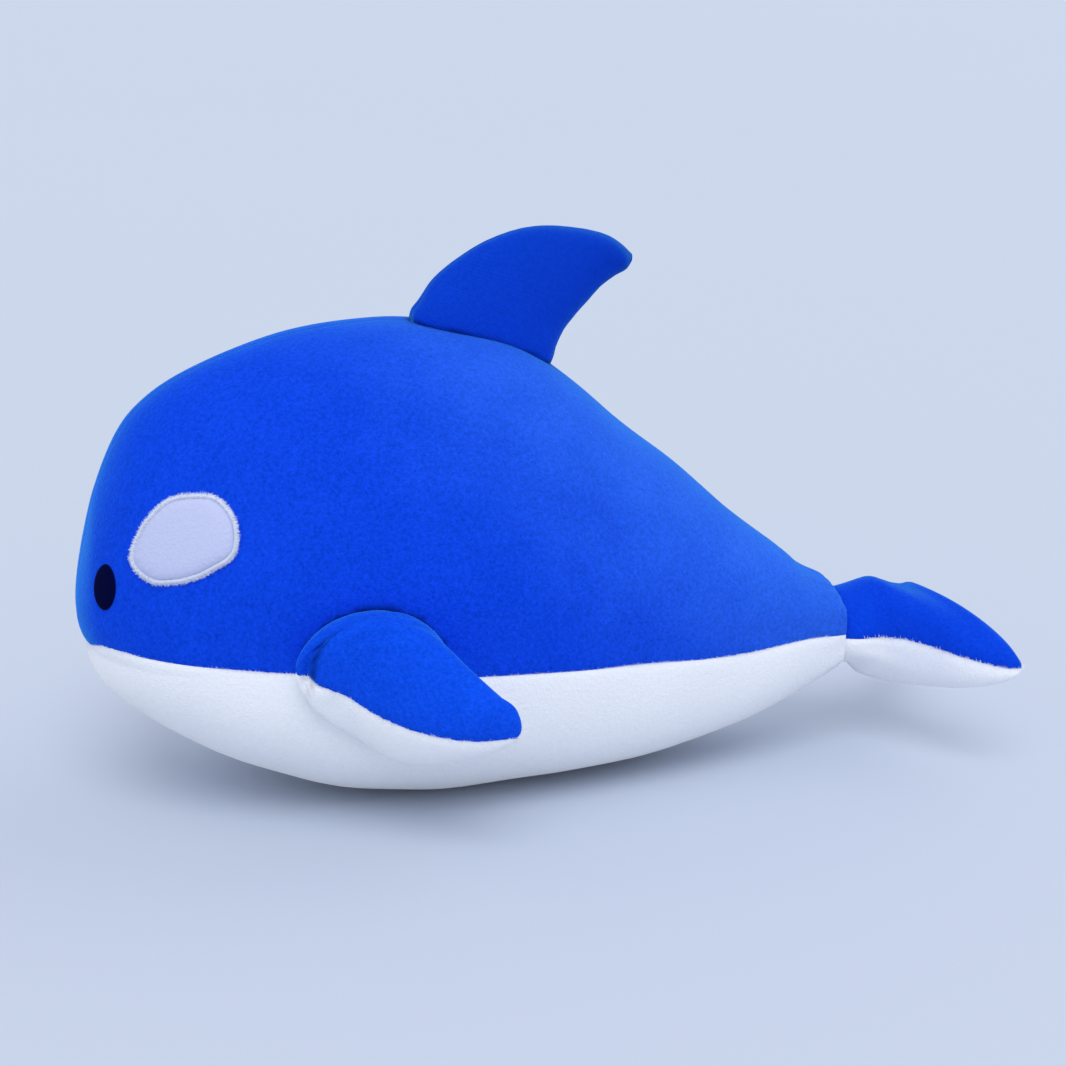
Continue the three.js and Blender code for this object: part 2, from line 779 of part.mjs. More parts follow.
function patchOutline() {
  const count = patchOutlineShares.length;
  const corners = patchOutlineShares.map((share, index) => {
    const turn = index / count * 2 * Math.PI;
    return new THREE.Vector3(share * Math.cos(turn), share * Math.sin(turn), 0).multiplyScalar(patchLength / 2);
  });
  const curve = new THREE.CatmullRomCurve3(corners, true);
  return Array.from({ length: patchColumns }, (_, column) => curve.getPoint(column / patchColumns));
}

function eyeOutline() {
  return Array.from({ length: eyeColumns }, (_, column) => {
    const turn = column / eyeColumns * 2 * Math.PI;
    const c = Math.cos(turn);
    const s = Math.sin(turn);
    const reach = (Math.abs(c) ** eyePointedness + Math.abs(s) ** eyePointedness) ** (-1 / eyePointedness);
    return new THREE.Vector3(eyeHeight / 2 * reach * c, eyeWidth / 2 * reach * s, 0);
  });
}

// A low cushion on the skin inside an outline, with an edge height and a puff in the middle.
function domeSolid(seat, outline, rows, edge, puff) {
  const lower = Array.from({ length: rows }, (_, row) => ({ share: row / rows, height: trimGap }));
  const upper = Array.from({ length: rows }, (_, row) => {
    const share = 1 - row / rows;
    return { share, height: trimGap + edge + puff * (1 - share * share) };
  });
  const levels = [
    ...lower,
    { share: 1, height: trimGap },
    ...upper,
    { share: 0, height: trimGap + edge + puff },
  ];
  const grid = levels.map(({ share, height }) => outline.map((point) => {
    return overSkin(seat, point.x * share, point.y * share, height);
  }));
  return closedForm(grid, splitsOf(grid));
}

// The satin-stitched border round a patch.
function borderSolid(seat, outline) {
  const count = outline.length;
  const sections = outline.map((point, index) => {
    const before = outline[(index + count - 1) % count];
    const after = outline[(index + 1) % count];
    const along = new THREE.Vector3().subVectors(after, before).normalize();
    const outward = new THREE.Vector3(along.y, -along.x, 0);
    const corners = [
      [trimGap, trimGap],
      [trimGap + borderWidth, trimGap],
      [trimGap + borderWidth * 0.8, trimGap + borderHeight * 0.75],
      [trimGap + borderWidth / 2, trimGap + borderHeight],
      [trimGap + borderWidth * 0.2, trimGap + borderHeight * 0.75],
    ];
    return corners.map(([out, height]) => {
      const place = point.clone().addScaledVector(outward, out);
      return overSkin(seat, place.x, place.y, height);
    });
  });
  const looped = [...sections, sections[0]];
  return solidFrom(looped.flat(), sideFaces(looped, splitsOf(looped)));
}

function faceTrim(side) {
  const group = new THREE.Group();
  const name = side > 0 ? 'right' : 'left';
  const patchSeat = seatAt(patchPlace, patchHeight, patchTilt, side);
  const eyeSeat = seatAt(eyePlace, eyeLevel, eyeTilt, side);
  const outline = patchOutline();
  group.add(
    meshOf(`eye_patch_${name}`, domeSolid(patchSeat, outline, patchRows, patchEdge, patchPuff), materials.patchVelour),
    meshOf(`eye_patch_stitching_${name}`, borderSolid(patchSeat, outline), materials.stitchThread),
    meshOf(`eye_${name}`, domeSolid(eyeSeat, eyeOutline(), eyeRows, eyeEdge, eyePuff), materials.eyeFelt),
  );
  return group;
}

const whale = new THREE.Group();
whale.add(bodyGroup(), faceTrim(-1), faceTrim(1), finGroup(), flipperGroup(-1), flipperGroup(1), tailGroup());

// The middle of the length is the origin.
const extent = new THREE.Box3().setFromObject(whale, true);
whale.position.x = -(extent.min.x + extent.max.x) / 2;

export default whale;
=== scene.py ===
"""The looks of a stuffed toy whale: velour covers sewn over fibre filling, with padded eye patches, satin
stitching and dark felt eyes, on a pale floor. Lengths are in metres. Shapes are worked out from the nose
backward and then moved to where the packed model lies."""

import json
import math
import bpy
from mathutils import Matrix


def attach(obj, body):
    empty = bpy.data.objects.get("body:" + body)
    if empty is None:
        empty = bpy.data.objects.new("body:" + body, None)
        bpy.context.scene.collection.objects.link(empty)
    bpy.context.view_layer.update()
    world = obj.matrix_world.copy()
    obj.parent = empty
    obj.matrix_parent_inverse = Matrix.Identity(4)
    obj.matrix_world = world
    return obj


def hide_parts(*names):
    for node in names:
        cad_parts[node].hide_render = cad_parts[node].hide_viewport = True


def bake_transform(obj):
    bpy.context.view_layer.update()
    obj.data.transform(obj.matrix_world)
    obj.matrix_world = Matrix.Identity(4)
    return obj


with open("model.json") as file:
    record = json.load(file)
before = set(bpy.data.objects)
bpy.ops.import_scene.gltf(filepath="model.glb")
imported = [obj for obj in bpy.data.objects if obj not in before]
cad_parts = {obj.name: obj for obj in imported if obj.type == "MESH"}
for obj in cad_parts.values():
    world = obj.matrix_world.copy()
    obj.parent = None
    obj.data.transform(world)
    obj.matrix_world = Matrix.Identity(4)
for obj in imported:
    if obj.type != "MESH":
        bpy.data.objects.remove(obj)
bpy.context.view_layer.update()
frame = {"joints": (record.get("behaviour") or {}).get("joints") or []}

from types import SimpleNamespace

import bmesh
import bpy
import numpy as np
from mathutils import Vector

bl_info = {
    "name": "Plush Whale",
    "version": (1, 0, 0),
    "blender": (4, 5, 0),
    "location": "View3D > Sidebar > Plush Whale",
    "description": "Builds a stuffed toy whale from sewn velour covers, padded patches and felt eyes",
    "category": "Add Mesh",
}

SIDES = {"left": -1, "right": 1}
TINY = 1e-9

# Points nearer than this are joined, and edges shorter than this are dissolved, in metres.
JOINED_WITHIN = 2e-6
NO_EDGE = 1e-7

# Edges that bend more than this stay sharp, in degrees: on a piece as it is made, and once it has been cut.
SHARP_ANGLE = 55
CUT_SHARP_ANGLE = 40

# Passes of the searches over the body's surface: for the brow's shift, and to halve a length.
BROW_PASSES = 3
HALVINGS = 40

# The nearest to the nose at which a section is taken, in metres.
NEAREST_SECTION = 1e-6

# Shape of the body at stations along it. Each row has the share of the length, then shares of the ridge rise,
# the belly depth and the half width, and of the nose height for the waist seam.
BODY_STATION_SHARES = np.array([
    [0, 0, 0, 0, 1],
    [0.02, 0.477, 0.27, 0.42, 1.08],
    [0.07, 0.729, 0.44, 0.66, 1.085],
    [0.16, 0.874, 0.693, 0.84, 1.055],
    [0.28, 0.969, 0.907, 0.96, 1.025],
    [0.42, 1, 1, 1, 0.98],
    [0.56, 0.918, 0.98, 0.93, 0.94],
    [0.7, 0.641, 0.941, 0.76, 0.887],
    [0.84, 0.341, 0.804, 0.54, 0.82],
    [0.94, 0.137, 0.63, 0.37, 0.822],
    [1, 0.019, 0.49, 0.27, 0.794],
])
RIDGE = 1
DEPTH = 2
WIDTH = 3
SEAM = 4
WIDEST_LIFT_SHARE = 0.4
BELLY_SQUARENESS = 2.7
BROW_FADE_POWER = 4

# Rows of a limb from its root to its tip: the places of its leading and of its trailing edge, each in shares
# of the half root length and of the reach, then how far the upper and the lower side stand out, in shares of
# the half root thickness.
FIN_ROW_SHARES = np.array([
    [-0.845, 0.08, 0.88, 0.07, 0.99, 0.99],
    [-0.765, 0.28, 0.92, 0.2, 0.94, 0.94],
    [-0.555, 0.49, 1.0, 0.34, 0.85, 0.85],
    [-0.29, 0.68, 1.09, 0.47, 0.76, 0.76],
    [0.08, 0.85, 1.18, 0.595, 0.63, 0.63],
    [0.5, 0.945, 1.29, 0.695, 0.56, 0.56],
    [1.06, 0.985, 1.41, 0.79, 0.47, 0.47],
    [1.405, 0.9, 1.405, 0.9, 0, 0],
])
FLIPPER_ROW_SHARES = np.array([
    [-0.48, 0.18, 1.09, 0.17, 0.94, 1.3],
    [-0.1, 0.42, 1.22, 0.36, 0.86, 1.22],
    [0.34, 0.69, 1.38, 0.53, 0.75, 0.9],
    [0.72, 0.88, 1.55, 0.69, 0.63, 0.58],
    [1.12, 0.99, 1.69, 0.8, 0.5, 0.34],
    [1.64, 0.96, 1.64, 0.96, 0, 0],
])

# Rows of the tail. Each row has the share of the fluke reach at the middle, the same at the side edge, the
# share of the half spread that the side edge stands out, and the shares of the half root thickness as above.
TAIL_ROW_SHARES = np.array([
    [0.09, 0.13, 0.36, 1.15, 1.26],
    [0.2, 0.27, 0.48, 1.27, 1.4],
    [0.3, 0.42, 0.64, 1.2, 1.46],
    [0.41, 0.56, 0.81, 1.1, 1.42],
    [0.52, 0.73, 0.94, 1.06, 1.3],
    [0.61, 0.88, 1.01, 1.1, 1.02],
    [0.66, 0.98, 1.01, 0.86, 0.7],
    [0.68, 1.03, 0.96, 0, 0],
])
NOTCH_SOFTNESS_SHARE = 0.3
FLUKE_FULLNESS = 0.75
# How many insets the inner layers are drawn in at the notch between the flukes.
NOTCH_INSETS = 1.6

# Lift of a limb's bend at which the skin dips fully round it. A limb that lifts less is sewn on flatter.
ROUND_LIFT = 0.009

# Rows of a limb's root that its cover leaves out.
DEEP_ROWS = 5

# Where the back's painted light begins, standing for pile brushed up toward the rear and the light it
# catches, and where it is full, in metres along the frame, and how much farther forward this is for each
# metre of height, so that the top is painted lighter too.
BRUSHED_LIT_FROM = 0.09
BRUSHED_LIT_TO = 0.32
BRUSHED_LIT_SLANT = 1.0
# How far the edge of the brushed pile and its painted light wanders, in metres.
BRUSHED_LIT_WAVER = 0.05

# How much the broad patches of the nap count in the pile's shade, and how far that shade spreads each way.
NAP_SHADE_SHARE = 0.15
SHADE_SPREAD = 0.3

# Outline of an eye patch as distances from its middle in shares of its half length, at even turns from the
# rear end over the top.
PATCH_OUTLINE_SHARES = np.array([0.99, 0.94, 0.77, 0.72, 0.69, 0.77, 0.98, 0.85, 0.67, 0.63, 0.7, 0.95])
EYE_POINTEDNESS = 1.95

# Broad unevenness that stuffing by hand leaves: directions and phases of slow waves, in turns.
HAND_WAVES = [
    ((11, 7, 3), 0.13),
    ((-6, 13, 9), 0.71),
    ((15, -4, -11), 0.38),
    ((4, -15, 14), 0.9),
    ((-19, 3, 8), 0.55),
]


def metres(name, description, default):
    return bpy.props.FloatProperty(
        name=name, description=description, default=default, min=0, precision=5, subtype="DISTANCE",
        unit="LENGTH",
    )


def turn_of(name, description, degrees):
    return bpy.props.FloatProperty(
        name=name, description=description, default=math.radians(degrees), subtype="ANGLE", unit="ROTATION"
    )


def share_of(name, description, default):
    return bpy.props.FloatProperty(
        name=name, description=description, default=default, min=0, max=1, subtype="FACTOR"
    )


def colour_of(name, description, default):
    return bpy.props.FloatVectorProperty(
        name=name, description=description, default=default, size=3, min=0, max=1, subtype="COLOR"
    )


def number_of(name, description, default):
    return bpy.props.FloatProperty(name=name, description=description, default=default, min=0)


def faces_in(name, description, default):
    return bpy.props.IntProperty(name=name, description=description, default=default, min=1)


class WhaleBodySettings(bpy.types.PropertyGroup):
    """Sizes of the stuffed body and of its cover"""

    length: metres("Length", "From the nose to where the tail is sewn in", 0.385)
    width: metres("Width", "Across the widest part of the body", 0.2)
    nose_height: metres("Nose height", "Height of the nose seam over the floor", 0.08)
    ridge_rise: metres("Ridge rise", "Height of the back over the nose seam", 0.153)
    belly_depth: metres("Belly depth", "Depth of the belly below the nose seam", 0.0805)
    brow_reach: metres("Brow reach", "How far the brow bulges over the nose seam", 0.0045)
    brow_rise: metres("Brow rise", "Height of the brow's bulge over the nose seam", 0.022)
    cover_thickness: metres("Cover thickness", "Thickness of the velour with its pile", 0.002)
    seam_gap: metres("Seam gap", "Space between two panels at their seam", 0.0002)
    seam_roll: metres("Seam roll", "How deep the panels roll in at a seam", 0.0009)
    seam_reach: metres("Seam reach", "How far from a seam its roll begins", 0.0022)
    hand_wave: metres("Unevenness", "Depth of the broad unevenness of the filling", 0.00035)
    root_crease: metres("Root crease", "How deep the skin dips where a limb is sewn on", 0.0011)
    root_crease_reach: metres("Root crease reach", "How far from a limb the skin begins to dip", 0.005)
    filling_gap: metres("Filling gap", "Space between the cover and its filling", 0.0004)
    rows: faces_in("Rows", "Rows of faces along the body", 170)
    back_columns: faces_in("Back columns", "Columns of faces on one side of the back", 64)
    belly_columns: faces_in("Belly columns", "Columns of faces round the belly", 80)


class WhaleLimbSettings(bpy.types.PropertyGroup):
    """Sizes of the dorsal fin, the flippers and the tail"""

    fin_root_start: metres("Fin start", "Where the fin's root starts behind the nose", 0.161)
    fin_root_end: metres("Fin end", "Where the fin's root ends behind the nose", 0.237)
    fin_root_thickness: metres("Fin thickness", "Thickness of the fin where it leaves the back", 0.03)
    fin_root_lift: metres("Fin lift", "Height of the fin's bend over the back", 0.005)
    fin_reach: metres("Fin reach", "From the fin's bend to its tip", 0.066)
    fin_neck_share: share_of("Fin neck", "Length of the fin where it is sewn on, as a share", 0.885)
    flipper_root_place: metres("Flipper place", "Middle of a flipper's root behind the nose", 0.128)
    flipper_root_height: metres("Flipper height", "Height of a flipper's root over the floor", 0.086)
    flipper_root_length: metres("Flipper length", "Length of a flipper's root along the body", 0.07)
    flipper_root_thickness: metres("Flipper thickness", "Thickness of a flipper at its root", 0.056)
    flipper_root_lift: metres("Flipper lift", "Distance of a flipper's bend from the side", 0.009)
    flipper_reach: metres("Flipper reach", "From a flipper's bend to its tip", 0.045)
    flipper_droop: metres("Flipper droop", "How far a flipper's tip hangs", 0.0095)
    flipper_lead_hang: metres("Flipper edge hang", "How far a flipper's leading edge hangs", 0.008)
    flipper_set_angle: turn_of("Flipper set angle", "How far a flipper is held below level", 20)
    fold_depth: metres("Fold depth", "Depth of the crease in front of a flipper's root", 0.0048)
    # Reach of the painted shade that darkens the cloth beside a root's seam.
    crease_shade_reach: metres("Crease shade", "How far from a root's seam its shade reaches", 0.0005)
    pleat_depth: metres("Pleat depth", "Depth of the pleats beside the tail's root", 0.0006)
    pleat_reach: metres("Pleat reach", "How far the pleats run from the tail's root", 0.013)
    tail_root_lift: metres("Tail lift", "Distance of the tail's bend behind the body", 0.009)
    tail_fit_gap: metres("Tail gap", "Space between the tail's root and the cover round it", 0.0009)
    tail_spread: metres("Tail spread", "Across both flukes", 0.156)
    fluke_reach: metres("Fluke reach", "From the tail's bend to the end of a fluke", 0.067)
    fluke_droop: metres("Fluke droop", "How far the flukes hang at their tips", 0.0085)
    tail_hang: turn_of("Tail hang", "How far the tail hangs behind its bend", 6)
    tail_twist: turn_of("Tail twist", "How far the filling has turned the tail, left side up", 7.5)
    fin_tuck: metres("Fin tuck", "How far the fin's cover goes into the body", 0.005)
    flipper_tuck: metres("Flipper tuck", "How far a flipper's cover goes into the body", 0.014)
    tail_tuck: metres("Tail tuck", "How far the tail's cover goes into the body", 0.008)
    bend_share: share_of("Bend share", "How far a limb's cloth bends, in half thicknesses", 1.0)
    dimple_gap: metres("Dimple gap", "Space round the root of a limb", 0.0001)
    seam_roll: metres("Seam roll", "How deep a limb's panels roll in at their seam", 0.0008)
    fin_pucker: metres("Fin puckers", "Depth of the puckers along the fin's seam", 0.00006)
    flipper_pucker: metres("Flipper puckers", "Depth of the puckers along a flipper's seam", 0.00028)
    tail_pucker: metres("Tail puckers", "Depth of the puckers along the tail's seam", 0.0002)
    pucker_spacing: metres("Pucker spacing", "Distance from one pucker to the next", 0.0068)
    pucker_reach: metres("Pucker reach", "How far the puckers run from the seam", 0.005)
    rows: faces_in("Rows", "Rows of faces from a limb's root to its tip", 84)
    columns: faces_in("Columns", "Columns of faces round a limb", 112)


class WhaleTrimSettings(bpy.types.PropertyGroup):
    """Sizes of the eye patches, their stitching and the eyes"""

    patch_place: metres("Patch place", "Middle of an eye patch behind the nose", 0.043)
    patch_height: metres("Patch height", "Height of an eye patch over the floor", 0.144)
    patch_length: metres("Patch length", "Length of an eye patch", 0.052)
    patch_tilt: turn_of("Patch tilt", "How far an eye patch rises toward the rear", 23.4)
    patch_puff: metres("Patch puff", "Height of an eye patch in its middle", 0.0034)
    patch_wrinkle: metres("Patch wrinkle", "Depth of the wrinkles along the patch's edge", 0.00012)
    border_width: metres("Border width", "Width of the stitched border", 0.0023)
    border_height: metres("Border height", "Height of the stitched border", 0.0015)
    thread_spacing: metres("Thread spacing", "Distance from one stitch to the next", 0.0006)
    thread_thickness: metres("Thread thickness", "Thickness of the embroidery thread", 0.0006)
    eye_place: metres("Eye place", "Middle of an eye behind the nose", 0.0085)
    eye_level: metres("Eye level", "Height of an eye over the floor", 0.1175)
    eye_width: metres("Eye width", "Width of an eye", 0.0166)
    eye_height: metres("Eye height", "Height of an eye", 0.022)
    eye_tilt: turn_of("Eye tilt", "How an eye leans", 94)
    eye_puff: metres("Eye puff", "Height of an eye in its middle", 0.0016)
    trim_gap: metres("Trim gap", "Space between the trim and the skin", 0.0003)


class WhaleFinishSettings(bpy.types.PropertyGroup):
    """Colours and pile of the cloth"""

    blue: colour_of("Blue velour", "Colour of the back and the tail", (0.0001, 0.053, 0.69))
    # The fin's blue is darker than the body's: painted shade on its upright sides.
    blue_fin_shaded: colour_of("Fin velour", "Colour of the fin, whose pile lies down", (0.0001, 0.047, 0.6))
    # The flippers' tops are a lighter blue than the body: painted light where more light falls on them.
    blue_flipper_lit: colour_of("Flipper velour", "Colour of the tops of the flippers", (0.0006, 0.07, 0.8))
    # A lighter blue mixed in toward the upper rear: pile brushed up there, and painted light where more light
    # falls.
    blue_brushed_lit: colour_of("Brushed blue", "Colour where the pile is brushed up", (0.03, 0.145, 0.84))
    blue_sheen: colour_of("Blue sheen", "Tint of the light that the blue pile catches", (0.07, 0.46, 1))
    white: colour_of("White velour", "Colour of the belly and the undersides", (0.92, 0.935, 1))
    patch: colour_of("Patch velour", "Colour of the eye patches", (0.53, 0.57, 0.82))
    thread: colour_of("Thread", "Colour of the satin stitching", (0.8, 0.86, 1))
    eye: colour_of("Eye felt", "Colour of the eyes", (0.0001, 0.0008, 0.018))
    filling: colour_of("Fibre filling", "Colour of the filling", (0.84, 0.87, 0.92))
    sheen: share_of("Sheen", "How much light the pile catches at its edges", 0.9)
    fibre_size: metres("Fibre size", "Width of one tuft of the pile", 0.0011)
    tuft_size: metres("Tuft size", "Width of a group of tufts", 0.0021)
    nap_size: metres("Nap size", "Width of a patch where the pile lies one way", 0.03)
    wale_width: metres("Wale width", "Width of one row of the knitted ground", 0.0012)
    pile_depth: metres("Pile depth", "Depth of the pile's relief", 0.0007)
    fringe_length: metres("Fringe length", "Length of the pile that stands out at a seam", 0.0013)
    fringe_spacing: metres("Fringe spacing", "Distance between the fibres that stand out", 0.0002)


class WhaleStageSettings(bpy.types.PropertyGroup):
    """Camera, light and floor"""

    camera_azimuth: turn_of("Camera azimuth", "How far the camera stands round from the left side", -12)
    camera_elevation: turn_of("Camera elevation", "How far the camera looks down", 15)
    camera_distance: metres("Camera distance", "From the camera to the point it looks at", 1.4)
    aim_place: metres("Aim place", "The point the camera looks at, behind the nose", 0.2261)
    aim_height: metres("Aim height", "Height of the point the camera looks at", 0.12)
    lens: number_of("Lens", "Focal length in millimetres on a 36 millimetre frame", 93.2)
    floor_size: metres("Floor size", "Length of each side of the floor", 30)
    floor: colour_of("Floor", "Colour of the floor", (0.55, 0.605, 0.715))
    sky: colour_of("Sky", "Colour of the light from all round", (0.9, 0.94, 1))
    sky_strength: number_of("Sky strength", "Light from all round", 0.82)
    key_strength: number_of("Key strength", "Light from above", 1.05)
    key_softness: turn_of("Key softness", "How wide the light from above is", 38)
    fill_strength: number_of("Fill strength", "Light from in front", 0.1)
    fill_softness: turn_of("Fill softness", "How wide the light from in front is", 60)
    rim_strength: number_of("Rim strength", "Light from behind", 0.6)
    rim_softness: turn_of("Rim softness", "How wide the light from behind is", 75)


def curve_through(places, values, at):
    """Smooth values between the given places, each with the slope over its neighbours."""
    places = np.asarray(places, dtype=float)
    values = np.asarray(values, dtype=float)
    at = np.asarray(at, dtype=float)
    last = len(places) - 1
    before = np.maximum(np.arange(last + 1) - 1, 0)
    after = np.minimum(np.arange(last + 1) + 1, last)
    extra = (1,) * (values.ndim - 1)
    slopes = (values[after] - values[before]) / (places[after] - places[before]).reshape(-1, *extra)
    row = np.clip(np.searchsorted(places, at, side="right") - 1, 0, last - 1)
    span = np.reshape(places[row + 1] - places[row], at.shape + extra)
    t = np.reshape(at - places[row], at.shape + extra) / span
    start = (1 + 2 * t) * (1 - t) ** 2 * values[row] + t * (1 - t) ** 2 * span * slopes[row]
    end = t * t * (3 - 2 * t) * values[row + 1] + t * t * (t - 1) * span * slopes[row + 1]
    return start + end


def unit(vectors):
    lengths = np.linalg.norm(vectors, axis=-1, keepdims=True)
    return vectors / np.maximum(lengths, TINY)


def run_along(points, axis):
    """How far each point lies along its row or column, measured on the surface."""
    steps = np.linalg.norm(np.diff(points, axis=axis), axis=-1)
    start = np.zeros_like(np.take(steps, [0], axis=axis))
    return np.concatenate([start, np.cumsum(steps, axis=axis)], axis=axis)


def faded(away, reach, power):
    """A share that falls from 1 with the distance, to about a third at the reach."""
    return np.exp(-((away / reach) ** power))


def crowded_ends(share, crowding):
    """Even shares drawn toward both ends, so that seams get more faces."""
    return share - crowding * np.sin(2 * np.pi * share) / (2 * np.pi)


class BodyForm:
    """The surface of the stuffed body, in metres behind the nose."""

    def __init__(self, sizes):
        self.sizes = sizes

    def blunt(self, column, share):
        squares = curve_through(BODY_STATION_SHARES[:, 0], BODY_STATION_SHARES[:, column] ** 2, share)
        return np.sqrt(np.maximum(squares, 0))

    def section(self, x):
        share = np.asarray(x) / self.sizes.length
        rise = self.sizes.ridge_rise * self.blunt(RIDGE, share)
        depth = self.sizes.belly_depth * self.blunt(DEPTH, share)
        widest = self.sizes.nose_height + WIDEST_LIFT_SHARE * (rise - depth) / 2
        seam_share = curve_through(BODY_STATION_SHARES[:, 0], BODY_STATION_SHARES[:, SEAM], share)
        return SimpleNamespace(
            half_width=self.sizes.width / 2 * self.blunt(WIDTH, share),
            widest=widest,
            up=np.maximum(self.sizes.nose_height + rise - widest, TINY),
            down=np.maximum(widest - self.sizes.nose_height + depth, TINY),
            seam=self.sizes.nose_height * seam_share,
        )

    def brow_shift(self, x, z):
        level = np.maximum(z - self.sizes.nose_height, 0) / self.sizes.brow_rise
        fade = np.maximum(1 - x / self.sizes.length, 0) ** BROW_FADE_POWER
        return self.sizes.brow_reach * level * np.exp(1 - level) * fade

    def point(self, x, turn, side):
        """A point of the surface. The turn is 0 on the ridge, a quarter on the side and a half turn below."""
        part = self.section(x)
        across = np.sin(turn)
        along = np.cos(turn)
        power = BELLY_SQUARENESS
        corner = np.maximum(np.abs(along) ** power + np.abs(across) ** power, TINY) ** (-1 / power)
        reach = np.where(along < 0, corner, 1)
        z = part.widest + np.where(along < 0, part.down, part.up) * along * reach
        y = side * part.half_width * across * reach
        return np.stack([x - self.brow_shift(x, z), y, np.maximum(z, 0)], axis=-1)

    def seam_turn(self, x):
        part = self.section(np.maximum(x, NEAREST_SECTION))
        rise = part.seam - part.widest
        share = np.clip(-rise / part.down, TINY, 1) ** BELLY_SQUARENESS
        below = np.pi - np.arctan(((1 - share) / share) ** (1 / BELLY_SQUARENESS))
        return np.where(rise >= 0, np.arccos(np.clip(rise / part.up, -1, 1)), below)

    def outside(self, points):
        """How far out of the body points are: below zero inside, zero on the surface."""
        x = points[..., 0]
        for _ in range(BROW_PASSES):
            x = points[..., 0] + self.brow_shift(x, points[..., 2])
        part = self.section(np.maximum(x, NEAREST_SECTION))
        low = points[..., 2] < part.widest
        power = np.where(low, BELLY_SQUARENESS, 2)
        height = np.where(low, part.down, part.up)
        wide = np.abs(points[..., 1]) / np.maximum(part.half_width, TINY)
        high = np.abs(points[..., 2] - part.widest) / height
        return np.where(x <= 0, 1, wide ** power + high ** power - 1)

    def onto(self, points, direction, search):
        """Moves points along a direction until they lie on the surface."""
        inside = points - direction * search
        outside = points + direction * search
        for _ in range(HALVINGS):
            middle = (inside + outside) / 2
            out = (self.outside(middle) > 0)[..., None]
            outside = np.where(out, middle, outside)
            inside = np.where(out, inside, middle)
        return inside

    def side_point(self, x, z, side):
        start = np.array([x, side * self.sizes.width / 4, z])
        return self.onto(start, np.array([0, side, 0]), self.sizes.width / 2)

    def ridge_height(self, x):
        rise = self.sizes.ridge_rise * float(self.blunt(RIDGE, x / self.sizes.length))
        return self.sizes.nose_height + rise


class RootForm:
    """The rounded root of a limb: half an egg round the hinge, with the limb's own directions. A blunt egg
    keeps its length for longer: its power is 2 for a plain egg and more for a blunter one."""

    def __init__(self, length, thickness, lift, middle, along, up, out, egg_share=1, bluntness=2):
        self.half_thickness = math.hypot(thickness / 2, lift)
        self.half_length = length / thickness * self.half_thickness
        self.egg_length = self.half_length * egg_share
        self.bluntness = bluntness
        self.lift = lift
        self.middle = np.asarray(middle, dtype=float)
        self.axes = np.array([along, up, out], dtype=float)

    def to_body(self, points):
        return self.middle + points @ self.axes

    def to_limb(self, points):
        return (points - self.middle) @ self.axes.T

    def distance(self, points):
        """About how far points lie outside the egg."""
        part = self.to_limb(points)
        along = np.abs(part[..., 0]) / self.egg_length
        wide = np.hypot(part[..., 1], part[..., 2]) / self.half_thickness
        power = self.bluntness
        return ((along ** power + wide ** power) ** (1 / power) - 1) * self.half_thickness

    def length_share(self, turn):
        """Share of the egg's length that is left at a depth given as a turn from the hinge."""
        return (1 - math.sin(turn) ** self.bluntness) ** (1 / self.bluntness)


def fin_root(body, limbs):
    ends = [np.array([x, 0, body.ridge_height(x)]) for x in (limbs.fin_root_start, limbs.fin_root_end)]
    along = unit(ends[1] - ends[0])
    out = np.array([-along[2], 0, along[0]])
    middle = (ends[0] + ends[1]) / 2 + out * limbs.fin_root_lift
    length = np.linalg.norm(ends[1] - ends[0])
    sizes = (length, limbs.fin_root_thickness, limbs.fin_root_lift)
    return RootForm(*sizes, middle, along, [0, 1, 0], out, limbs.fin_neck_share, bluntness=3)


def flipper_root(body, limbs, side):
    seat = body.side_point(limbs.flipper_root_place, limbs.flipper_root_height, side)
    middle = seat + np.array([0, side * limbs.flipper_root_lift, 0])
    lean = limbs.flipper_set_angle
    up = [0, side * math.sin(lean), math.cos(lean)]
    out = [0, side * math.cos(lean), -math.sin(lean)]
    sizes = (limbs.flipper_root_length, limbs.flipper_root_thickness, limbs.flipper_root_lift)
    return RootForm(*sizes, middle, [1, 0, 0], up, out)


def tail_root(body, limbs):
    """The tail's root has its length across, so its own directions are across, up and back."""
    sizes = body.sizes
    end = body.section(sizes.length)
    top = body.ridge_height(sizes.length)
    bottom = sizes.nose_height - sizes.belly_depth * float(body.blunt(DEPTH, 1.0))
    play = sizes.cover_thickness + limbs.tail_fit_gap
    thickness = top - bottom - 2 * play
    length = 2 * (float(end.half_width) - play)
    middle = [sizes.length + limbs.tail_root_lift, 0, (top + bottom) / 2]
    return RootForm(length, thickness, limbs.tail_root_lift, middle, [0, 1, 0], [0, 0, 1], [1, 0, 0])


def nose_place(body, limbs):
    """Where the nose lies in the packed model, found from the tail's hinge."""
    hinge = next(joint for joint in frame["joints"] if joint["child"] == "tail_flukes")
    return hinge["pos_m"][0] - body.sizes.length - limbs.tail_root_lift


def settings_now():
    scene = bpy.context.scene
    body = BodyForm(scene.whale_body)
    limbs = scene.whale_limbs
    return SimpleNamespace(
        body=body,
        limbs=limbs,
        trim=scene.whale_trim,
        finish=scene.whale_finish,
        stage=scene.whale_stage,
        nose=np.array([nose_place(body, limbs), 0, 0]),
    )


def hand_wave(points, depth):
    """Slow waves over the whole toy, which its trim follows too."""
    total = np.zeros(points.shape[:-1])
    for direction, phase in HAND_WAVES:
        total += np.sin(2 * np.pi * (points @ np.array(direction) + phase))
    return depth * total / len(HAND_WAVES) ** 0.5


def grid_normals(grid):
    """Outward directions of rows of points that run round a form."""
    along = np.gradient(grid, axis=0)
    across = np.roll(grid, -1, axis=1) - np.roll(grid, 1, axis=1)
    normals = unit(np.cross(along, across))
    outward = grid - grid.mean(axis=1, keepdims=True)
    return -normals if (normals * outward).sum() < 0 else normals


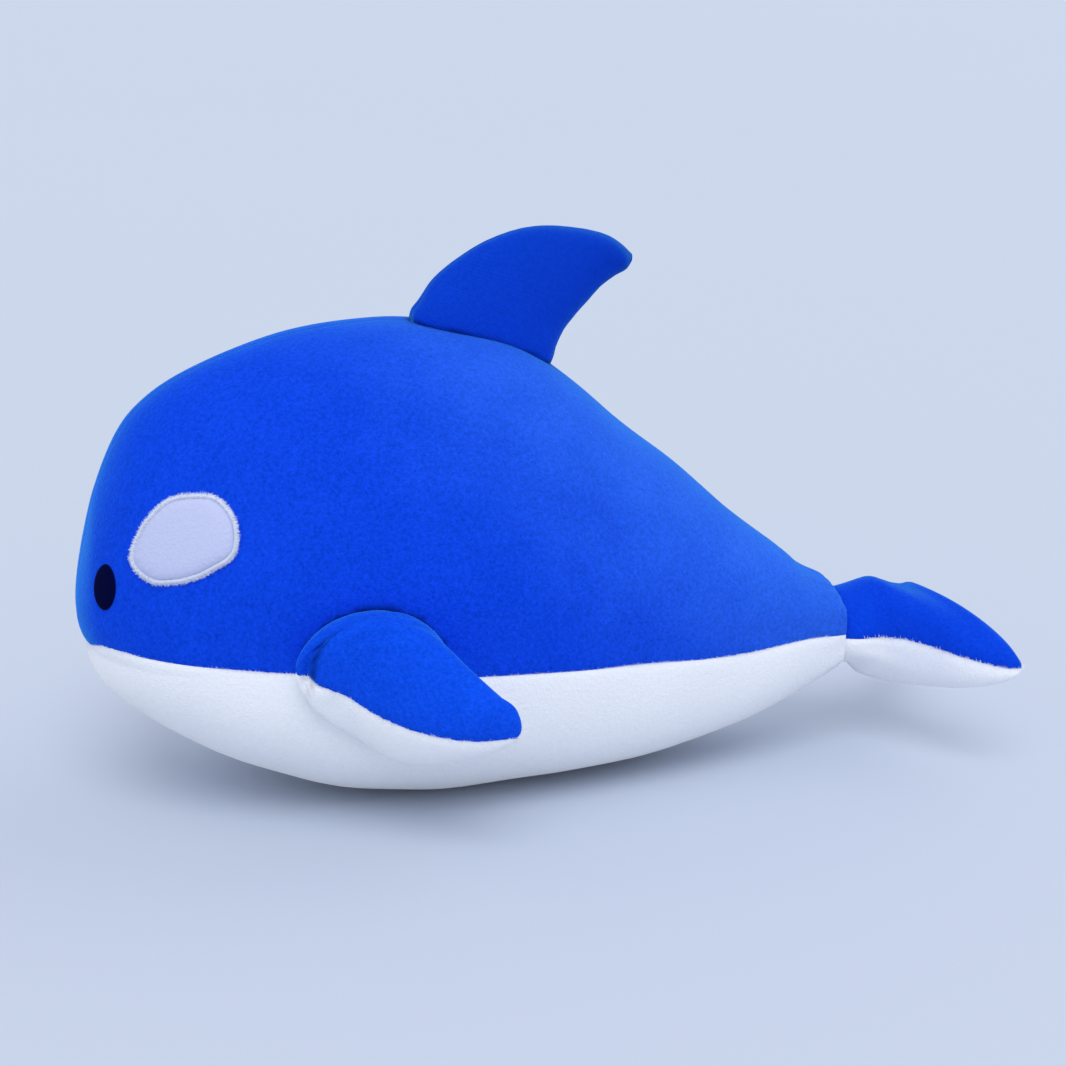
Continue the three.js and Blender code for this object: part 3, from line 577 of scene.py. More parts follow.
def looped(grid):
    """Rows of points round a form, each with its first point again at its end."""
    return np.concatenate([grid, grid[:, :1]], axis=1)


def signed_volume(points, faces):
    total = 0.0
    for corner in range(1, faces.shape[1] - 1):
        a = points[faces[:, 0]]
        b = points[faces[:, corner]]
        c = points[faces[:, corner + 1]]
        total += float((a * np.cross(b, c)).sum()) / 6
    return total


def make_piece(name, points, faces, flat=None):
    """A mesh object from points and four-cornered faces, with points that coincide joined."""
    faces = np.asarray(faces)
    if signed_volume(points, faces) < 0:
        faces = faces[:, ::-1]
    mesh = bpy.data.meshes.new(name)
    mesh.from_pydata(points.tolist(), [], faces.tolist())
    if flat is not None:
        layer = mesh.uv_layers.new(name="cloth")
        corners = np.zeros(len(mesh.loops), dtype=np.int32)
        mesh.loops.foreach_get("vertex_index", corners)
        layer.data.foreach_set("uv", flat[corners].astype(np.float32).ravel())
    tidy = bmesh.new()
    tidy.from_mesh(mesh)
    bmesh.ops.remove_doubles(tidy, verts=tidy.verts, dist=JOINED_WITHIN)
    bmesh.ops.dissolve_degenerate(tidy, edges=tidy.edges, dist=NO_EDGE)
    tidy.to_mesh(mesh)
    tidy.free()
    mesh.shade_smooth()
    mesh.set_sharp_from_angle(angle=math.radians(SHARP_ANGLE))
    piece = bpy.data.objects.new(name, mesh)
    bpy.context.scene.collection.objects.link(piece)
    return piece


def grid_faces(rows, columns, start=0, closed=False):
    """Four-cornered faces between rows of points. In a closed form the last column meets the first."""
    strips = columns if closed else columns - 1
    row, column = np.meshgrid(np.arange(rows - 1), np.arange(strips), indexing="ij")
    next_column = (column + 1) % columns
    corners = [
        row * columns + column,
        row * columns + next_column,
        (row + 1) * columns + next_column,
        (row + 1) * columns + column,
    ]
    return np.stack([corner.ravel() for corner in corners], axis=1) + start


def shell_piece(name, outer, inner, flat, gap):
    """A panel with thickness: an outer and an inner layer joined round their border."""
    outer = outer.copy()
    inner = inner.copy()
    for layer in (outer, inner):
        for edge, beside in ((0, 1), (-1, -2)):
            layer[:, edge] += unit(layer[:, beside] - layer[:, edge]) * gap / 2
    rows, columns = outer.shape[:2]
    count = rows * columns
    top = grid_faces(rows, columns)
    bottom = grid_faces(rows, columns, start=count)[:, ::-1]
    border = list(range(columns - 1))
    border += [row * columns + columns - 1 for row in range(rows - 1)]
    border += [(rows - 1) * columns + column for column in range(columns - 1, 0, -1)]
    border += [row * columns for row in range(rows - 1, 0, -1)]
    border = np.array(border)
    following = np.roll(border, -1)
    rim = np.stack([following, border, border + count, following + count], axis=1)
    points = np.concatenate([outer.reshape(-1, 3), inner.reshape(-1, 3)])
    both = np.concatenate([flat.reshape(-1, 2), flat.reshape(-1, 2)])
    return make_piece(name, points, np.concatenate([top, bottom, rim]), both)


def closed_piece(name, grid, flat=None, draw_ends=True):
    """A closed form from rows that run round it. Its end rows are drawn together, unless they close without
    that: each as a point or a flat line, or one on the other."""
    if draw_ends:
        ends = [np.broadcast_to(row.mean(axis=0), row.shape)[None] for row in (grid[0], grid[-1])]
        grid = np.concatenate([ends[0], grid, ends[1]])
    rows, columns = grid.shape[:2]
    if flat is not None:
        flat = np.concatenate([flat[:1], flat, flat[-1:]] if draw_ends else [flat]).reshape(-1, 2)
    return make_piece(name, grid.reshape(-1, 3), grid_faces(rows, columns, closed=True), flat)


def paint_crease_shade(piece, depth):
    """Notes for each point how deep it lies in a crease, which the material darkens as painted shade: 0 in
    the open, 1 at the bottom.
    """
    mesh = piece.data
    places = np.zeros(len(mesh.vertices) * 3)
    mesh.vertices.foreach_get("co", places)
    attribute = mesh.attributes.new("crease", "FLOAT", "POINT")
    attribute.data.foreach_set("value", np.clip(depth(places.reshape(-1, 3)), 0, 1).astype(np.float32))


def bend_over(now, root, body_name):
    """What a limb's cloth follows: the torso up to its seam, the limb behind its bend, both in between."""
    hinge = root.middle + now.nose
    out = root.axes[2]
    ends = [hinge - out * root.lift, hinge + out * root.half_thickness * now.limbs.bend_share]
    return ["torso", body_name, *[tuple(map(float, end)) for end in ends]]


def dress(piece, material, carried, nodes=()):
    """Gives a finished piece its material and hides the parts that it stands for. A piece that follows one
    body is attached to it; one given a bend between two bodies only has its place baked into its mesh."""
    piece.data.materials.clear()
    piece.data.materials.append(material)
    if isinstance(carried, str):
        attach(piece, carried)
    else:
        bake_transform(piece)
    if nodes:
        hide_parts(*nodes)
    return piece


def freeze(piece):
    """Turns the result of a piece's modifiers into its plain mesh."""
    graph = bpy.context.evaluated_depsgraph_get()
    result = bpy.data.meshes.new_from_object(piece.evaluated_get(graph))
    piece.modifiers.clear()
    old = piece.data
    piece.data = result
    bpy.data.meshes.remove(old)


# Faces along and round the space that is cut out for a limb's root.
SPACE_ROWS = 48
SPACE_COLUMNS = 96


def egg_cutter(name, root, gap, nose):
    """The egg-shaped space round a limb's root, longest along the hinge."""
    turns = np.linspace(0, np.pi, SPACE_ROWS + 1)[1:-1]
    round_turns = np.linspace(0, 2 * np.pi, SPACE_COLUMNS, endpoint=False)
    turn, round_turn = np.meshgrid(turns, round_turns, indexing="ij")
    radius = root.half_thickness + gap
    wide = radius * np.sin(turn) ** (2 / root.bluntness)
    points = np.stack([
        (root.egg_length + gap) * np.sign(np.cos(turn)) * np.abs(np.cos(turn)) ** (2 / root.bluntness),
        wide * np.cos(round_turn),
        wide * np.sin(round_turn),
    ], axis=-1)
    grid = root.to_body(points) + nose
    ends = np.array([[1, 0, 0], [-1, 0, 0]]) * (root.egg_length + gap)
    caps = [np.broadcast_to(end, grid[0].shape) for end in root.to_body(ends) + nose]
    return closed_piece(name, np.concatenate([caps[0][None], grid, caps[1][None]]), draw_ends=False)


def cut_out(piece, cutters):
    """Cuts the space round the roots out of a piece."""
    for cutter in cutters:
        modifier = piece.modifiers.new("root_space", "BOOLEAN")
        modifier.operation = "DIFFERENCE"
        modifier.solver = "EXACT"
        modifier.object = cutter
    freeze(piece)
    piece.data.set_sharp_from_angle(angle=math.radians(CUT_SHARP_ANGLE))


def discard(objects):
    for item in objects:
        mesh = item.data
        bpy.data.objects.remove(item)
        bpy.data.meshes.remove(mesh)


# Materials. Shared effects are node groups that put out values and heights; shaders stay in the materials.


def fill(tree, made, **values):
    """Gives a node its values. A name with a capital is an input, which is linked where the value is another
    node's output. Any other name is a property."""
    for name, value in values.items():
        if not name[0].isupper():
            setattr(made, name, value)
        elif isinstance(value, bpy.types.NodeSocket):
            tree.links.new(value, made.inputs[name.replace("_", " ")])
        else:
            made.inputs[name.replace("_", " ")].default_value = value
    return made


def node(tree, kind, **values):
    return fill(tree, tree.nodes.new(kind), **values)


def maths(tree, operation, *values):
    made = node(tree, "ShaderNodeMath", operation=operation)
    for socket, value in zip(made.inputs, values):
        if isinstance(value, bpy.types.NodeSocket):
            tree.links.new(value, socket)
        else:
            socket.default_value = value
    return made.outputs[0]


# Kinds of the node groups' sockets that aren't plain numbers.
SOCKETS = {
    "Vector": "NodeSocketVector",
    "Geometry": "NodeSocketGeometry",
    "Material": "NodeSocketMaterial",
    "Seed": "NodeSocketInt",
}


def new_group(name, kind, inputs, outputs):
    """A node group with its inputs, their values where they have one, and its outputs."""
    group = bpy.data.node_groups.new(name, kind)
    for way, labels in (("INPUT", inputs), ("OUTPUT", outputs)):
        for label in labels:
            socket_type = SOCKETS.get(label, "NodeSocketFloat")
            group.interface.new_socket(name=label, in_out=way, socket_type=socket_type)
    for socket in group.interface.items_tree:
        if socket.in_out == "INPUT" and inputs[socket.name] is not None:
            socket.default_value = inputs[socket.name]
    return group, group.nodes.new("NodeGroupInput"), group.nodes.new("NodeGroupOutput")


# How much single fibres and their tufts count in the shade of the pile, and the tufts in its height.
FIBRE_SHADE_SHARE = 0.55
TUFT_SHADE_SHARE = 0.45
TUFT_HEIGHT_SHARE = 0.5

# Detail of the noise for each size in the pile.
PILE_DETAIL = {"Fibre Size": 2.0, "Tuft Size": 1.0, "Nap Size": 1.5}


def pile_group():
    """Short pile: fine tufts in groups, and broad patches where the nap lies another way."""
    name = "whale_pile"
    if name in bpy.data.node_groups:
        return bpy.data.node_groups[name]
    inputs = {"Vector": None, "Fibre Size": 0.0007, "Tuft Size": 0.002, "Nap Size": 0.03}
    group, source, result = new_group(name, "ShaderNodeTree", inputs, ["Shade", "Nap", "Height"])
    place = source.outputs["Vector"]
    found = {}
    for label, detail in PILE_DETAIL.items():
        scale = maths(group, "DIVIDE", 1.0, source.outputs[label])
        noise = node(group, "ShaderNodeTexNoise", Vector=place, Scale=scale, Detail=detail)
        found[label] = noise.outputs["Fac"]
    fibres = found["Fibre Size"]
    tufts = found["Tuft Size"]
    fine = maths(group, "MULTIPLY", fibres, FIBRE_SHADE_SHARE)
    shade = maths(group, "MULTIPLY_ADD", tufts, TUFT_SHADE_SHARE, fine)
    height = maths(group, "MULTIPLY_ADD", tufts, TUFT_HEIGHT_SHARE, fibres)
    fill(group, result, Shade=shade, Nap=found["Nap Size"], Height=height)
    return group


# How finely the wales of the knitted ground waver, as a noise scale.
WALE_WAVER_SCALE = 260.0


def knit_group():
    """Rows of the knitted ground, faintly seen through the pile."""
    name = "whale_knit"
    if name in bpy.data.node_groups:
        return bpy.data.node_groups[name]
    inputs = {"Vector": None, "Wale Width": 0.0012, "Waver": 0.0003}
    group, source, result = new_group(name, "ShaderNodeTree", inputs, ["Lines"])
    place = source.outputs["Vector"]
    noise = node(group, "ShaderNodeTexNoise", Vector=place, Scale=WALE_WAVER_SCALE, Detail=1.0).outputs["Fac"]
    parts = node(group, "ShaderNodeSeparateXYZ", Vector=place)
    shifted = maths(group, "MULTIPLY_ADD", noise, source.outputs["Waver"], parts.outputs["X"])
    wales = maths(group, "DIVIDE", shifted, source.outputs["Wale Width"])
    wave = maths(group, "SINE", maths(group, "MULTIPLY", wales, 2 * math.pi))
    fill(group, result, Lines=maths(group, "MULTIPLY_ADD", wave, 0.5, 0.5))
    return group


def new_material(name, colour):
    material = bpy.data.materials.new(name)
    material.use_nodes = True
    material.diffuse_color = (*colour, 1)
    tree = material.node_tree
    tree.nodes.clear()
    shader = node(tree, "ShaderNodeBsdfPrincipled")
    node(tree, "ShaderNodeOutputMaterial", Surface=shader.outputs["BSDF"])
    return material, tree, shader


def pile_node(tree, fibre_size, tuft_size, nap_size):
    """The pile on a piece, laid out by its place in the frame."""
    place = node(tree, "ShaderNodeTexCoord").outputs["Object"]
    return node(
        tree, "ShaderNodeGroup", node_tree=pile_group(), Vector=place,
        Fibre_Size=fibre_size, Tuft_Size=tuft_size, Nap_Size=nap_size,
    )


def colour_mix(tree, amount, first, second):
    """A colour between two, each given as its three parts or as another node's output."""
    ends = [end if isinstance(end, bpy.types.NodeSocket) else (*end, 1) for end in (first, second)]
    mixed = node(tree, "ShaderNodeMix", data_type="RGBA", Factor=amount, A=ends[0], B=ends[1])
    return mixed.outputs["Result"]


def dark_and_light(colour, contrast, lift=0.0):
    dark = [part * (1 - contrast) for part in colour]
    return dark, [min(part * (1 + contrast) + lift, 1) for part in colour]


# What the lighter side of a colour has over its own brightness, for a contrast of 1.
LIGHT_LIFT = 0.02

# Finish that every velour has.
VELOUR_ROUGHNESS = (0.78, 1.0)
VELOUR_RELIEF = 0.55
VELOUR_SPECULAR = 0.02
VELOUR_SHEEN_ROUGHNESS = 0.3


def brushed_lit_share(tree, nap):
    """How far the pile is brushed up and painted lighter at each place: none at the front, fully at the rear.
    """
    place = node(tree, "ShaderNodeTexCoord").outputs["Object"]
    parts = node(tree, "ShaderNodeSeparateXYZ", Vector=place)
    slanted = maths(tree, "MULTIPLY_ADD", parts.outputs["Z"], BRUSHED_LIT_SLANT, parts.outputs["X"])
    return node(
        tree, "ShaderNodeMapRange", interpolation_type="SMOOTHSTEP",
        Value=maths(tree, "MULTIPLY_ADD", nap, BRUSHED_LIT_WAVER, slanted),
        From_Min=BRUSHED_LIT_FROM, From_Max=BRUSHED_LIT_TO,
    ).outputs["Result"]


def velour(
    name, colour, finish, sheen_tint, contrast, knit_share, knit_turn=0.0, crease_shade=0.22, brushed=None
):
    """Short-pile velour with uneven nap and a faint knitted ground. Toward the rear it can be brushed up and
    painted lighter, as painted light.
    """
    if name in bpy.data.materials:
        return bpy.data.materials[name]
    material, tree, shader = new_material(name, colour)
    pile = pile_node(tree, finish.fibre_size, finish.tuft_size, finish.nap_size)
    shade = pile.outputs["Shade"]
    nap = pile.outputs["Nap"]
    cloth_place = node(tree, "ShaderNodeTexCoord").outputs["UV"]
    turned = node(tree, "ShaderNodeMapping", Vector=cloth_place, Rotation=(0, 0, knit_turn)).outputs["Vector"]
    wale_width = finish.wale_width
    knit = node(tree, "ShaderNodeGroup", node_tree=knit_group(), Vector=turned, Wale_Width=wale_width)
    lines = knit.outputs["Lines"]
    # Painted shade: the crease attribute darkens the colour toward crease_shade times itself, in creases and
    # along seams.
    crease = node(tree, "ShaderNodeAttribute", attribute_name="crease").outputs["Fac"]
    knitted = maths(tree, "MULTIPLY_ADD", lines, knit_share, shade)
    middle_shade = 0.5 + 0.5 * NAP_SHADE_SHARE
    spread = node(
        tree, "ShaderNodeMapRange", Value=maths(tree, "MULTIPLY_ADD", nap, NAP_SHADE_SHARE, knitted),
        From_Min=middle_shade - SHADE_SPREAD, From_Max=middle_shade + SHADE_SPREAD + knit_share,
    ).outputs["Result"]
    cloth = colour_mix(tree, spread, *dark_and_light(colour, contrast, LIGHT_LIFT * contrast))
    # Painted light: toward the upper rear the cloth turns to the lighter brushed blue.
    if brushed is not None:
        combed_and_lit = colour_mix(tree, spread, *dark_and_light(brushed, contrast))
        cloth = colour_mix(tree, brushed_lit_share(tree, nap), cloth, combed_and_lit)
    least, most = VELOUR_ROUGHNESS
    rough = node(tree, "ShaderNodeMapRange", Value=shade, To_Min=least, To_Max=most).outputs["Result"]
    relief = maths(tree, "MULTIPLY_ADD", lines, knit_share, pile.outputs["Height"])
    bump = node(tree, "ShaderNodeBump", Strength=VELOUR_RELIEF, Distance=finish.pile_depth, Height=relief)
    fill(
        tree, shader,
        Base_Color=colour_mix(tree, crease, cloth, [part * crease_shade for part in colour]),
        Roughness=rough, Normal=bump.outputs["Normal"], Specular_IOR_Level=VELOUR_SPECULAR,
        Sheen_Weight=finish.sheen, Sheen_Roughness=VELOUR_SHEEN_ROUGHNESS, Sheen_Tint=(*sheen_tint, 1),
    )
    return material


def body_velour(finish):
    return velour(
        "whale_body_velour", finish.blue, finish, finish.blue_sheen,
        contrast=0.36, knit_share=0.06, brushed=finish.blue_brushed_lit,
    )


# The body's velour in the flippers' lighter blue, which is painted light.
def flipper_lit_velour(finish):
    return velour(
        "whale_flipper_velour", finish.blue_flipper_lit, finish, finish.blue_sheen, contrast=0.36, knit_share=0.06
    )


# The fin's velour in its darker blue, which is painted shade.
def fin_shaded_velour(finish):
    return velour(
        "whale_fin_velour", finish.blue_fin_shaded, finish, finish.blue_sheen,
        contrast=0.3, knit_share=0.6, knit_turn=math.radians(62),
    )


def tail_velour(finish):
    return velour(
        "whale_tail_velour", finish.blue, finish, finish.blue_sheen,
        contrast=0.3, knit_share=0.25, knit_turn=math.radians(85),
    )


def white_velour(finish):
    return velour(
        "whale_white_velour", finish.white, finish, (1, 1, 1),
        contrast=0.05, knit_share=0.08, crease_shade=0.6,
    )


def patch_velour(finish):
    return velour("whale_patch_velour", finish.patch, finish, (0.85, 0.9, 1), contrast=0.04, knit_share=0.04)


def fibre_material(name, colour, dark, light, sizes, relief, relief_depth, **surface):
    """Twisted, felted or loose fibre, between a dark and a light colour. The sizes are those of its fibres,
    its tufts and its nap."""
    if name in bpy.data.materials:
        return bpy.data.materials[name]
    material, tree, shader = new_material(name, colour)
    pile = pile_node(tree, *sizes)
    bump = node(tree, "ShaderNodeBump", Strength=relief, Distance=relief_depth, Height=pile.outputs["Height"])
    mixed = colour_mix(tree, pile.outputs["Shade"], dark, light)
    fill(tree, shader, Base_Color=mixed, Normal=bump.outputs["Normal"], **surface)
    return material


def thread_material(finish):
    """Glossy embroidery thread, twisted finely along its length."""
    dark = [part * 0.82 for part in finish.thread]
    return fibre_material(
        "whale_stitch_thread", finish.thread, dark, finish.thread,
        sizes=(0.0003, 0.0012, 0.008), relief=0.3, relief_depth=0.0001,
        Roughness=0.55, Sheen_Weight=0.25, Sheen_Tint=(0.8, 0.88, 1, 1),
    )


def felt_material(finish):
    """Dark felt, close and nearly matt."""
    light = [part * 2.6 + 0.0004 for part in finish.eye]
    return fibre_material(
        "whale_eye_felt", finish.eye, finish.eye, light,
        sizes=(0.0004, 0.0012, 0.01), relief=0.5, relief_depth=0.0002,
        Roughness=0.8, Specular_IOR_Level=0.02, Sheen_Weight=0.0,
    )


def filling_material(finish):
    """Loose white fibre."""
    dark = [part * 0.8 for part in finish.filling]
    return fibre_material(
        "whale_fibre_filling", finish.filling, dark, finish.filling,
        sizes=(0.002, 0.009, 0.03), relief=1.0, relief_depth=0.002, Roughness=1.0,
    )


# Body.


# How strongly the columns crowd toward a seam of the body.
SEAM_CROWDING = 0.75

# Gathers of the cover round the tail: their number, how far their spacing wavers and how often. Then their
# depth on top, as a share of that below, and the turn up to there.
GATHERS = (15, 1.6, 3)
GATHER_TOP_SHARE = 0.35
GATHER_FADE_TURN = 1.4

# Powers that shape the dips beside a limb and beside a seam.
DIP_POWER = 1.3
ROLL_POWER = 1.2

# Depth of the ridge seam on the forehead and of the waist seams, as shares of the roll, and how far behind
# the fin's front the ridge seam has its full depth.
FOREHEAD_ROLL_SHARE = 0.25
WAIST_ROLL_SHARE = 0.7
RIDGE_ROLL_EASE = 0.05

# Rows that roll the cover in at its rear end: their turns in degrees, their steps toward the tail's root, and
# how far forward the last row is tucked, in radii of the roll.
END_TURNS = (25, 50, 75, 90)
END_STEP_SHARES = (0.35, 0.7, 1)
END_TUCK = 2

# Radius of that roll in thicknesses of the cover, and the inner layer's radius and reach in outer radii.
END_ROLL_SHARE = 0.55
INNER_ROLL_SHARES = (0.2, 0.3)

# Painted shade along the ridge seam behind the fin: its strength, and how far it reaches to each side.
RIDGE_SHADE = 0.5
RIDGE_SHADE_REACH = 0.0006

# Rows, columns of the back and columns of the belly of the body's filling.
FILLING_COUNTS = (72, 24, 32)


def wavering(turn, count, waver, wavers):
    """Waves round a form, whose even spacing wavers a few times on the way round."""
    return np.cos(turn * count + waver * np.sin(turn * wavers))


def body_grid(now, rows, back_columns, belly_columns):
    """Rows round the body: the right side of the back, the belly, the left side of the back."""
    share = np.linspace(0, 1, rows + 1)
    x = now.body.sizes.length * share ** 2 * (2 - share ** 2)
    waist = now.body.seam_turn(x)[:, None]
    back = crowded_ends(np.linspace(0, 1, back_columns + 1), SEAM_CROWDING)
    belly = crowded_ends(np.linspace(0, 1, belly_columns + 1), SEAM_CROWDING)
    right = waist * back[None, :]
    under = waist + (2 * np.pi - 2 * waist) * belly[None, 1:-1]
    left = 2 * np.pi - right[:, ::-1][:, :-1]
    turn = np.concatenate([right, under, left], axis=1)
    return now.body.point(x[:, None], turn, 1)


def body_normals(grid):
    normals = grid_normals(grid)
    normals[0] = (-1, 0, 0)
    return normals


def skin_depth(now, points, roots):
    """How far the skin lies off the smooth form: broad unevenness, gathers round the tail, dips round the
    limbs."""
    sizes = now.body.sizes
    depth = hand_wave(points, sizes.hand_wave)
    end = now.body.section(sizes.length)
    turn = np.arctan2(points[..., 1], end.widest - points[..., 2])
    fade = faded(sizes.length - points[..., 0], now.limbs.pleat_reach, 2)
    below = np.clip(GATHER_FADE_TURN - np.abs(turn), 0, 1)
    strength = now.limbs.pleat_depth * (GATHER_TOP_SHARE + (1 - GATHER_TOP_SHARE) * below)
    depth += strength * fade * wavering(turn, *GATHERS)
    for root in roots:
        away = np.maximum(root.distance(points), 0)
        depth -= sizes.root_crease * root.lift / ROUND_LIFT * faded(away, sizes.root_crease_reach, DIP_POWER)
    return depth


def seam_depth(now, grid, seams):
    """How deep the cover rolls in beside the ridge seam and the waist seams, which run along these columns.
    On the forehead the ridge seam is pulled nearly smooth."""
    sizes = now.body.sizes
    run = run_along(looped(grid), 1)
    whole = run[:, -1:]
    behind_fin = np.clip((grid[:, :1, 0] - now.limbs.fin_root_start) / RIDGE_ROLL_EASE, 0, 1)
    ridge_roll = FOREHEAD_ROLL_SHARE + (1 - FOREHEAD_ROLL_SHARE) * behind_fin
    depth = np.zeros(grid.shape[:2])
    for column in seams:
        away = np.abs(run[:, :-1] - run[:, column:column + 1])
        away = np.minimum(away, whole - away)
        roll = sizes.seam_roll * (ridge_roll if column == 0 else WAIST_ROLL_SHARE)
        depth = np.maximum(depth, roll * faded(away, sizes.seam_reach, ROLL_POWER))
    return depth


def gathered_end(grid, root, radius, behind):
    """Rows that roll the cover in at the body's end and gather it round the tail's root."""
    last = grid[-1]
    seat = root.to_limb(last)
    level_share = math.cos(math.asin(root.lift / root.half_thickness))
    half_sizes = np.array([root.half_length, root.half_thickness]) * level_share
    seat[:, :2] /= np.linalg.norm(seat[:, :2] / half_sizes, axis=1, keepdims=True)
    seat = root.to_body(seat)
    inward = unit(seat - last)
    back = np.array([1, 0, 0])
    rows = []
    for turn in np.radians(END_TURNS):
        rows.append(last + inward * radius * (1 - math.cos(turn)) + back * behind * math.sin(turn))
    corner = rows[-1]
    for share in END_STEP_SHARES:
        rows.append(corner + (seat + back * behind - corner) * share)
    rows.append(seat - back * radius * END_TUCK)
    return np.concatenate([grid, np.array(rows)])


class PLUSHWHALE_OT_body(bpy.types.Operator):
    """Build the body: two back covers, the belly cover and the filling"""

    bl_idname = "plush_whale.body"
    bl_label = "Body"

    def execute(self, context):
        now = settings_now()
        sizes = now.body.sizes
        roots = [fin_root(now.body, now.limbs)]
        roots += [flipper_root(now.body, now.limbs, side) for side in SIDES.values()]
        grid = body_grid(now, sizes.rows, sizes.back_columns, sizes.belly_columns)
        first_waist = sizes.back_columns
        second_waist = first_waist + sizes.belly_columns
        normals = body_normals(grid)
        skin = grid + normals * skin_depth(now, grid, roots)[..., None]
        outer = skin - normals * seam_depth(now, grid, (0, first_waist, second_waist))[..., None]
        outer[..., 2] = np.maximum(outer[..., 2], 0)
        inner = skin - normals * sizes.cover_thickness
        radius = sizes.cover_thickness * END_ROLL_SHARE
        inner_radius, inner_reach = [radius * share for share in INNER_ROLL_SHARES]
        tail = tail_root(now.body, now.limbs)
        outer = looped(gathered_end(outer, tail, radius, radius) + now.nose)
        inner = looped(gathered_end(inner, tail, inner_radius, inner_reach) + now.nose)
        flat = np.stack([run_along(outer, 0), run_along(outer, 1)], axis=-1)
        panels = {
            "back_right": (0, first_waist, body_velour, "blue_velour"),
            "belly": (first_waist, second_waist, white_velour, "white_velour"),
            "back_left": (second_waist, grid.shape[1], body_velour, "blue_velour"),
        }
        cutters = [egg_cutter(f"space_{index}", root, now.limbs.dimple_gap, now.nose)
                   for index, root in enumerate(roots)]
        for name, (start, end, material, slot) in panels.items():
            span = slice(start, end + 1)
            layers = [layer[:, span] for layer in (outer, inner, flat)]
            cover = shell_piece(f"{name}_cover", *layers, sizes.seam_gap)
            cut_out(cover, cutters)
            paint_crease_shade(cover, lambda places: self.crease_shade_at(now, roots, places - now.nose))
            dress(cover, material(now.finish), "torso", [f"{name}_panel"])
        self.add_filling(now, roots, cutters)
        discard(cutters)
        return {"FINISHED"}

    def crease_shade_at(self, now, roots, places):
        """How much painted shade points of the cover get in a crease: beside a limb, or along the ridge
        behind the fin.
        """
        away = np.min([np.abs(root.distance(places)) for root in roots], axis=0)
        behind_fin = places[:, 0] > now.limbs.fin_root_end
        above = places[:, 2] > now.body.sizes.nose_height
        ridge = RIDGE_SHADE * np.exp(-np.abs(places[:, 1]) / RIDGE_SHADE_REACH) * behind_fin * above
        return np.maximum(np.exp(-away / now.limbs.crease_shade_reach), ridge)

    def add_filling(self, now, roots, cutters):
        sizes = now.body.sizes
        grid = body_grid(now, *FILLING_COUNTS)
        normals = body_normals(grid)
        depth = skin_depth(now, grid, roots) - sizes.cover_thickness - sizes.filling_gap
        filling = closed_piece("body_stuffing", grid + normals * depth[..., None] + now.nose)
        end = egg_cutter("space_tail", tail_root(now.body, now.limbs), now.limbs.dimple_gap, now.nose)
        cut_out(filling, cutters + [end])
        discard([end])
        dress(filling, filling_material(now.finish), "torso", ["body_filling"])


# Limbs.

# How strongly a limb's rows crowd toward its tip, and its columns toward its edges.
TIP_CROWDING = 0.25
EDGE_CROWDING = 0.6

# The turn of the root's deepest row, as a share of a right angle.
DEEPEST_TURN_SHARE = 0.97

# Half the stretch of an edge over which its direction is taken, as a share of the edge.
EDGE_STEP_SHARE = 0.001

# Steps in which the ends of an inner layer are looked for, and how much of the edge is searched at the tip.
SEARCH_STEPS = 400
SEARCH_SHARE = 0.5

# The bluntness of a limb's root is gone where both edges' ways out add up to this share of its reach.
ROOT_FORM_SHARE = 0.5


def outline_places(lead, trail):
    """How far each row lies from the tip, in shares, so that the edges run round the tip smoothly."""
    steps = np.linalg.norm(np.diff(lead, axis=0), axis=1) + np.linalg.norm(np.diff(trail, axis=0), axis=1)
    from_tip = np.concatenate([np.cumsum(steps[::-1])[::-1], [0]])
    return from_tip / from_tip[0]


def row_shares(rows):
    """Shares from 1 at the root to 0 at the tip, closer together toward the tip."""
    share = np.linspace(1, 0, rows)
    return share * (1 - TIP_CROWDING * np.sin(np.pi * share))


def root_turns(root, tuck):
    """Turns of the root's rows from its deepest point to the hinge. The cover starts at the row DEEP_ROWS."""
    start = math.asin((root.lift + tuck) / root.half_thickness)
    deepest = math.pi / 2 * DEEPEST_TURN_SHARE
    return np.linspace(deepest, start, DEEP_ROWS + 1).tolist() + [start / 2, 0]


def limb_turns(columns):
    share = np.arange(columns) / columns
    return 2 * np.pi * (share - EDGE_CROWDING * np.sin(4 * np.pi * share) / (4 * np.pi))


def limb_counts(limbs, deep):
    """Rows and columns of a limb's layer. The filling reaches deeper than the cover, with half as many."""
    return (limbs.rows // 2, limbs.columns // 2) if deep else (limbs.rows, limbs.columns)


def there_and_back(rows, sign=1):
    """Rows from the root to the tip, and back to the root along the other edge."""
    return np.concatenate([sign * rows, rows[:-1][::-1]])


def drawn_in(edge_at, place, inset):
    """Points of an edge moved inward by the inset. The inside lies to the right of the edge's run."""
    run = unit(edge_at(place + EDGE_STEP_SHARE) - edge_at(place - EDGE_STEP_SHARE))
    inward = np.stack([run[:, 1], -run[:, 0]], axis=-1)
    return edge_at(place) + inset * inward


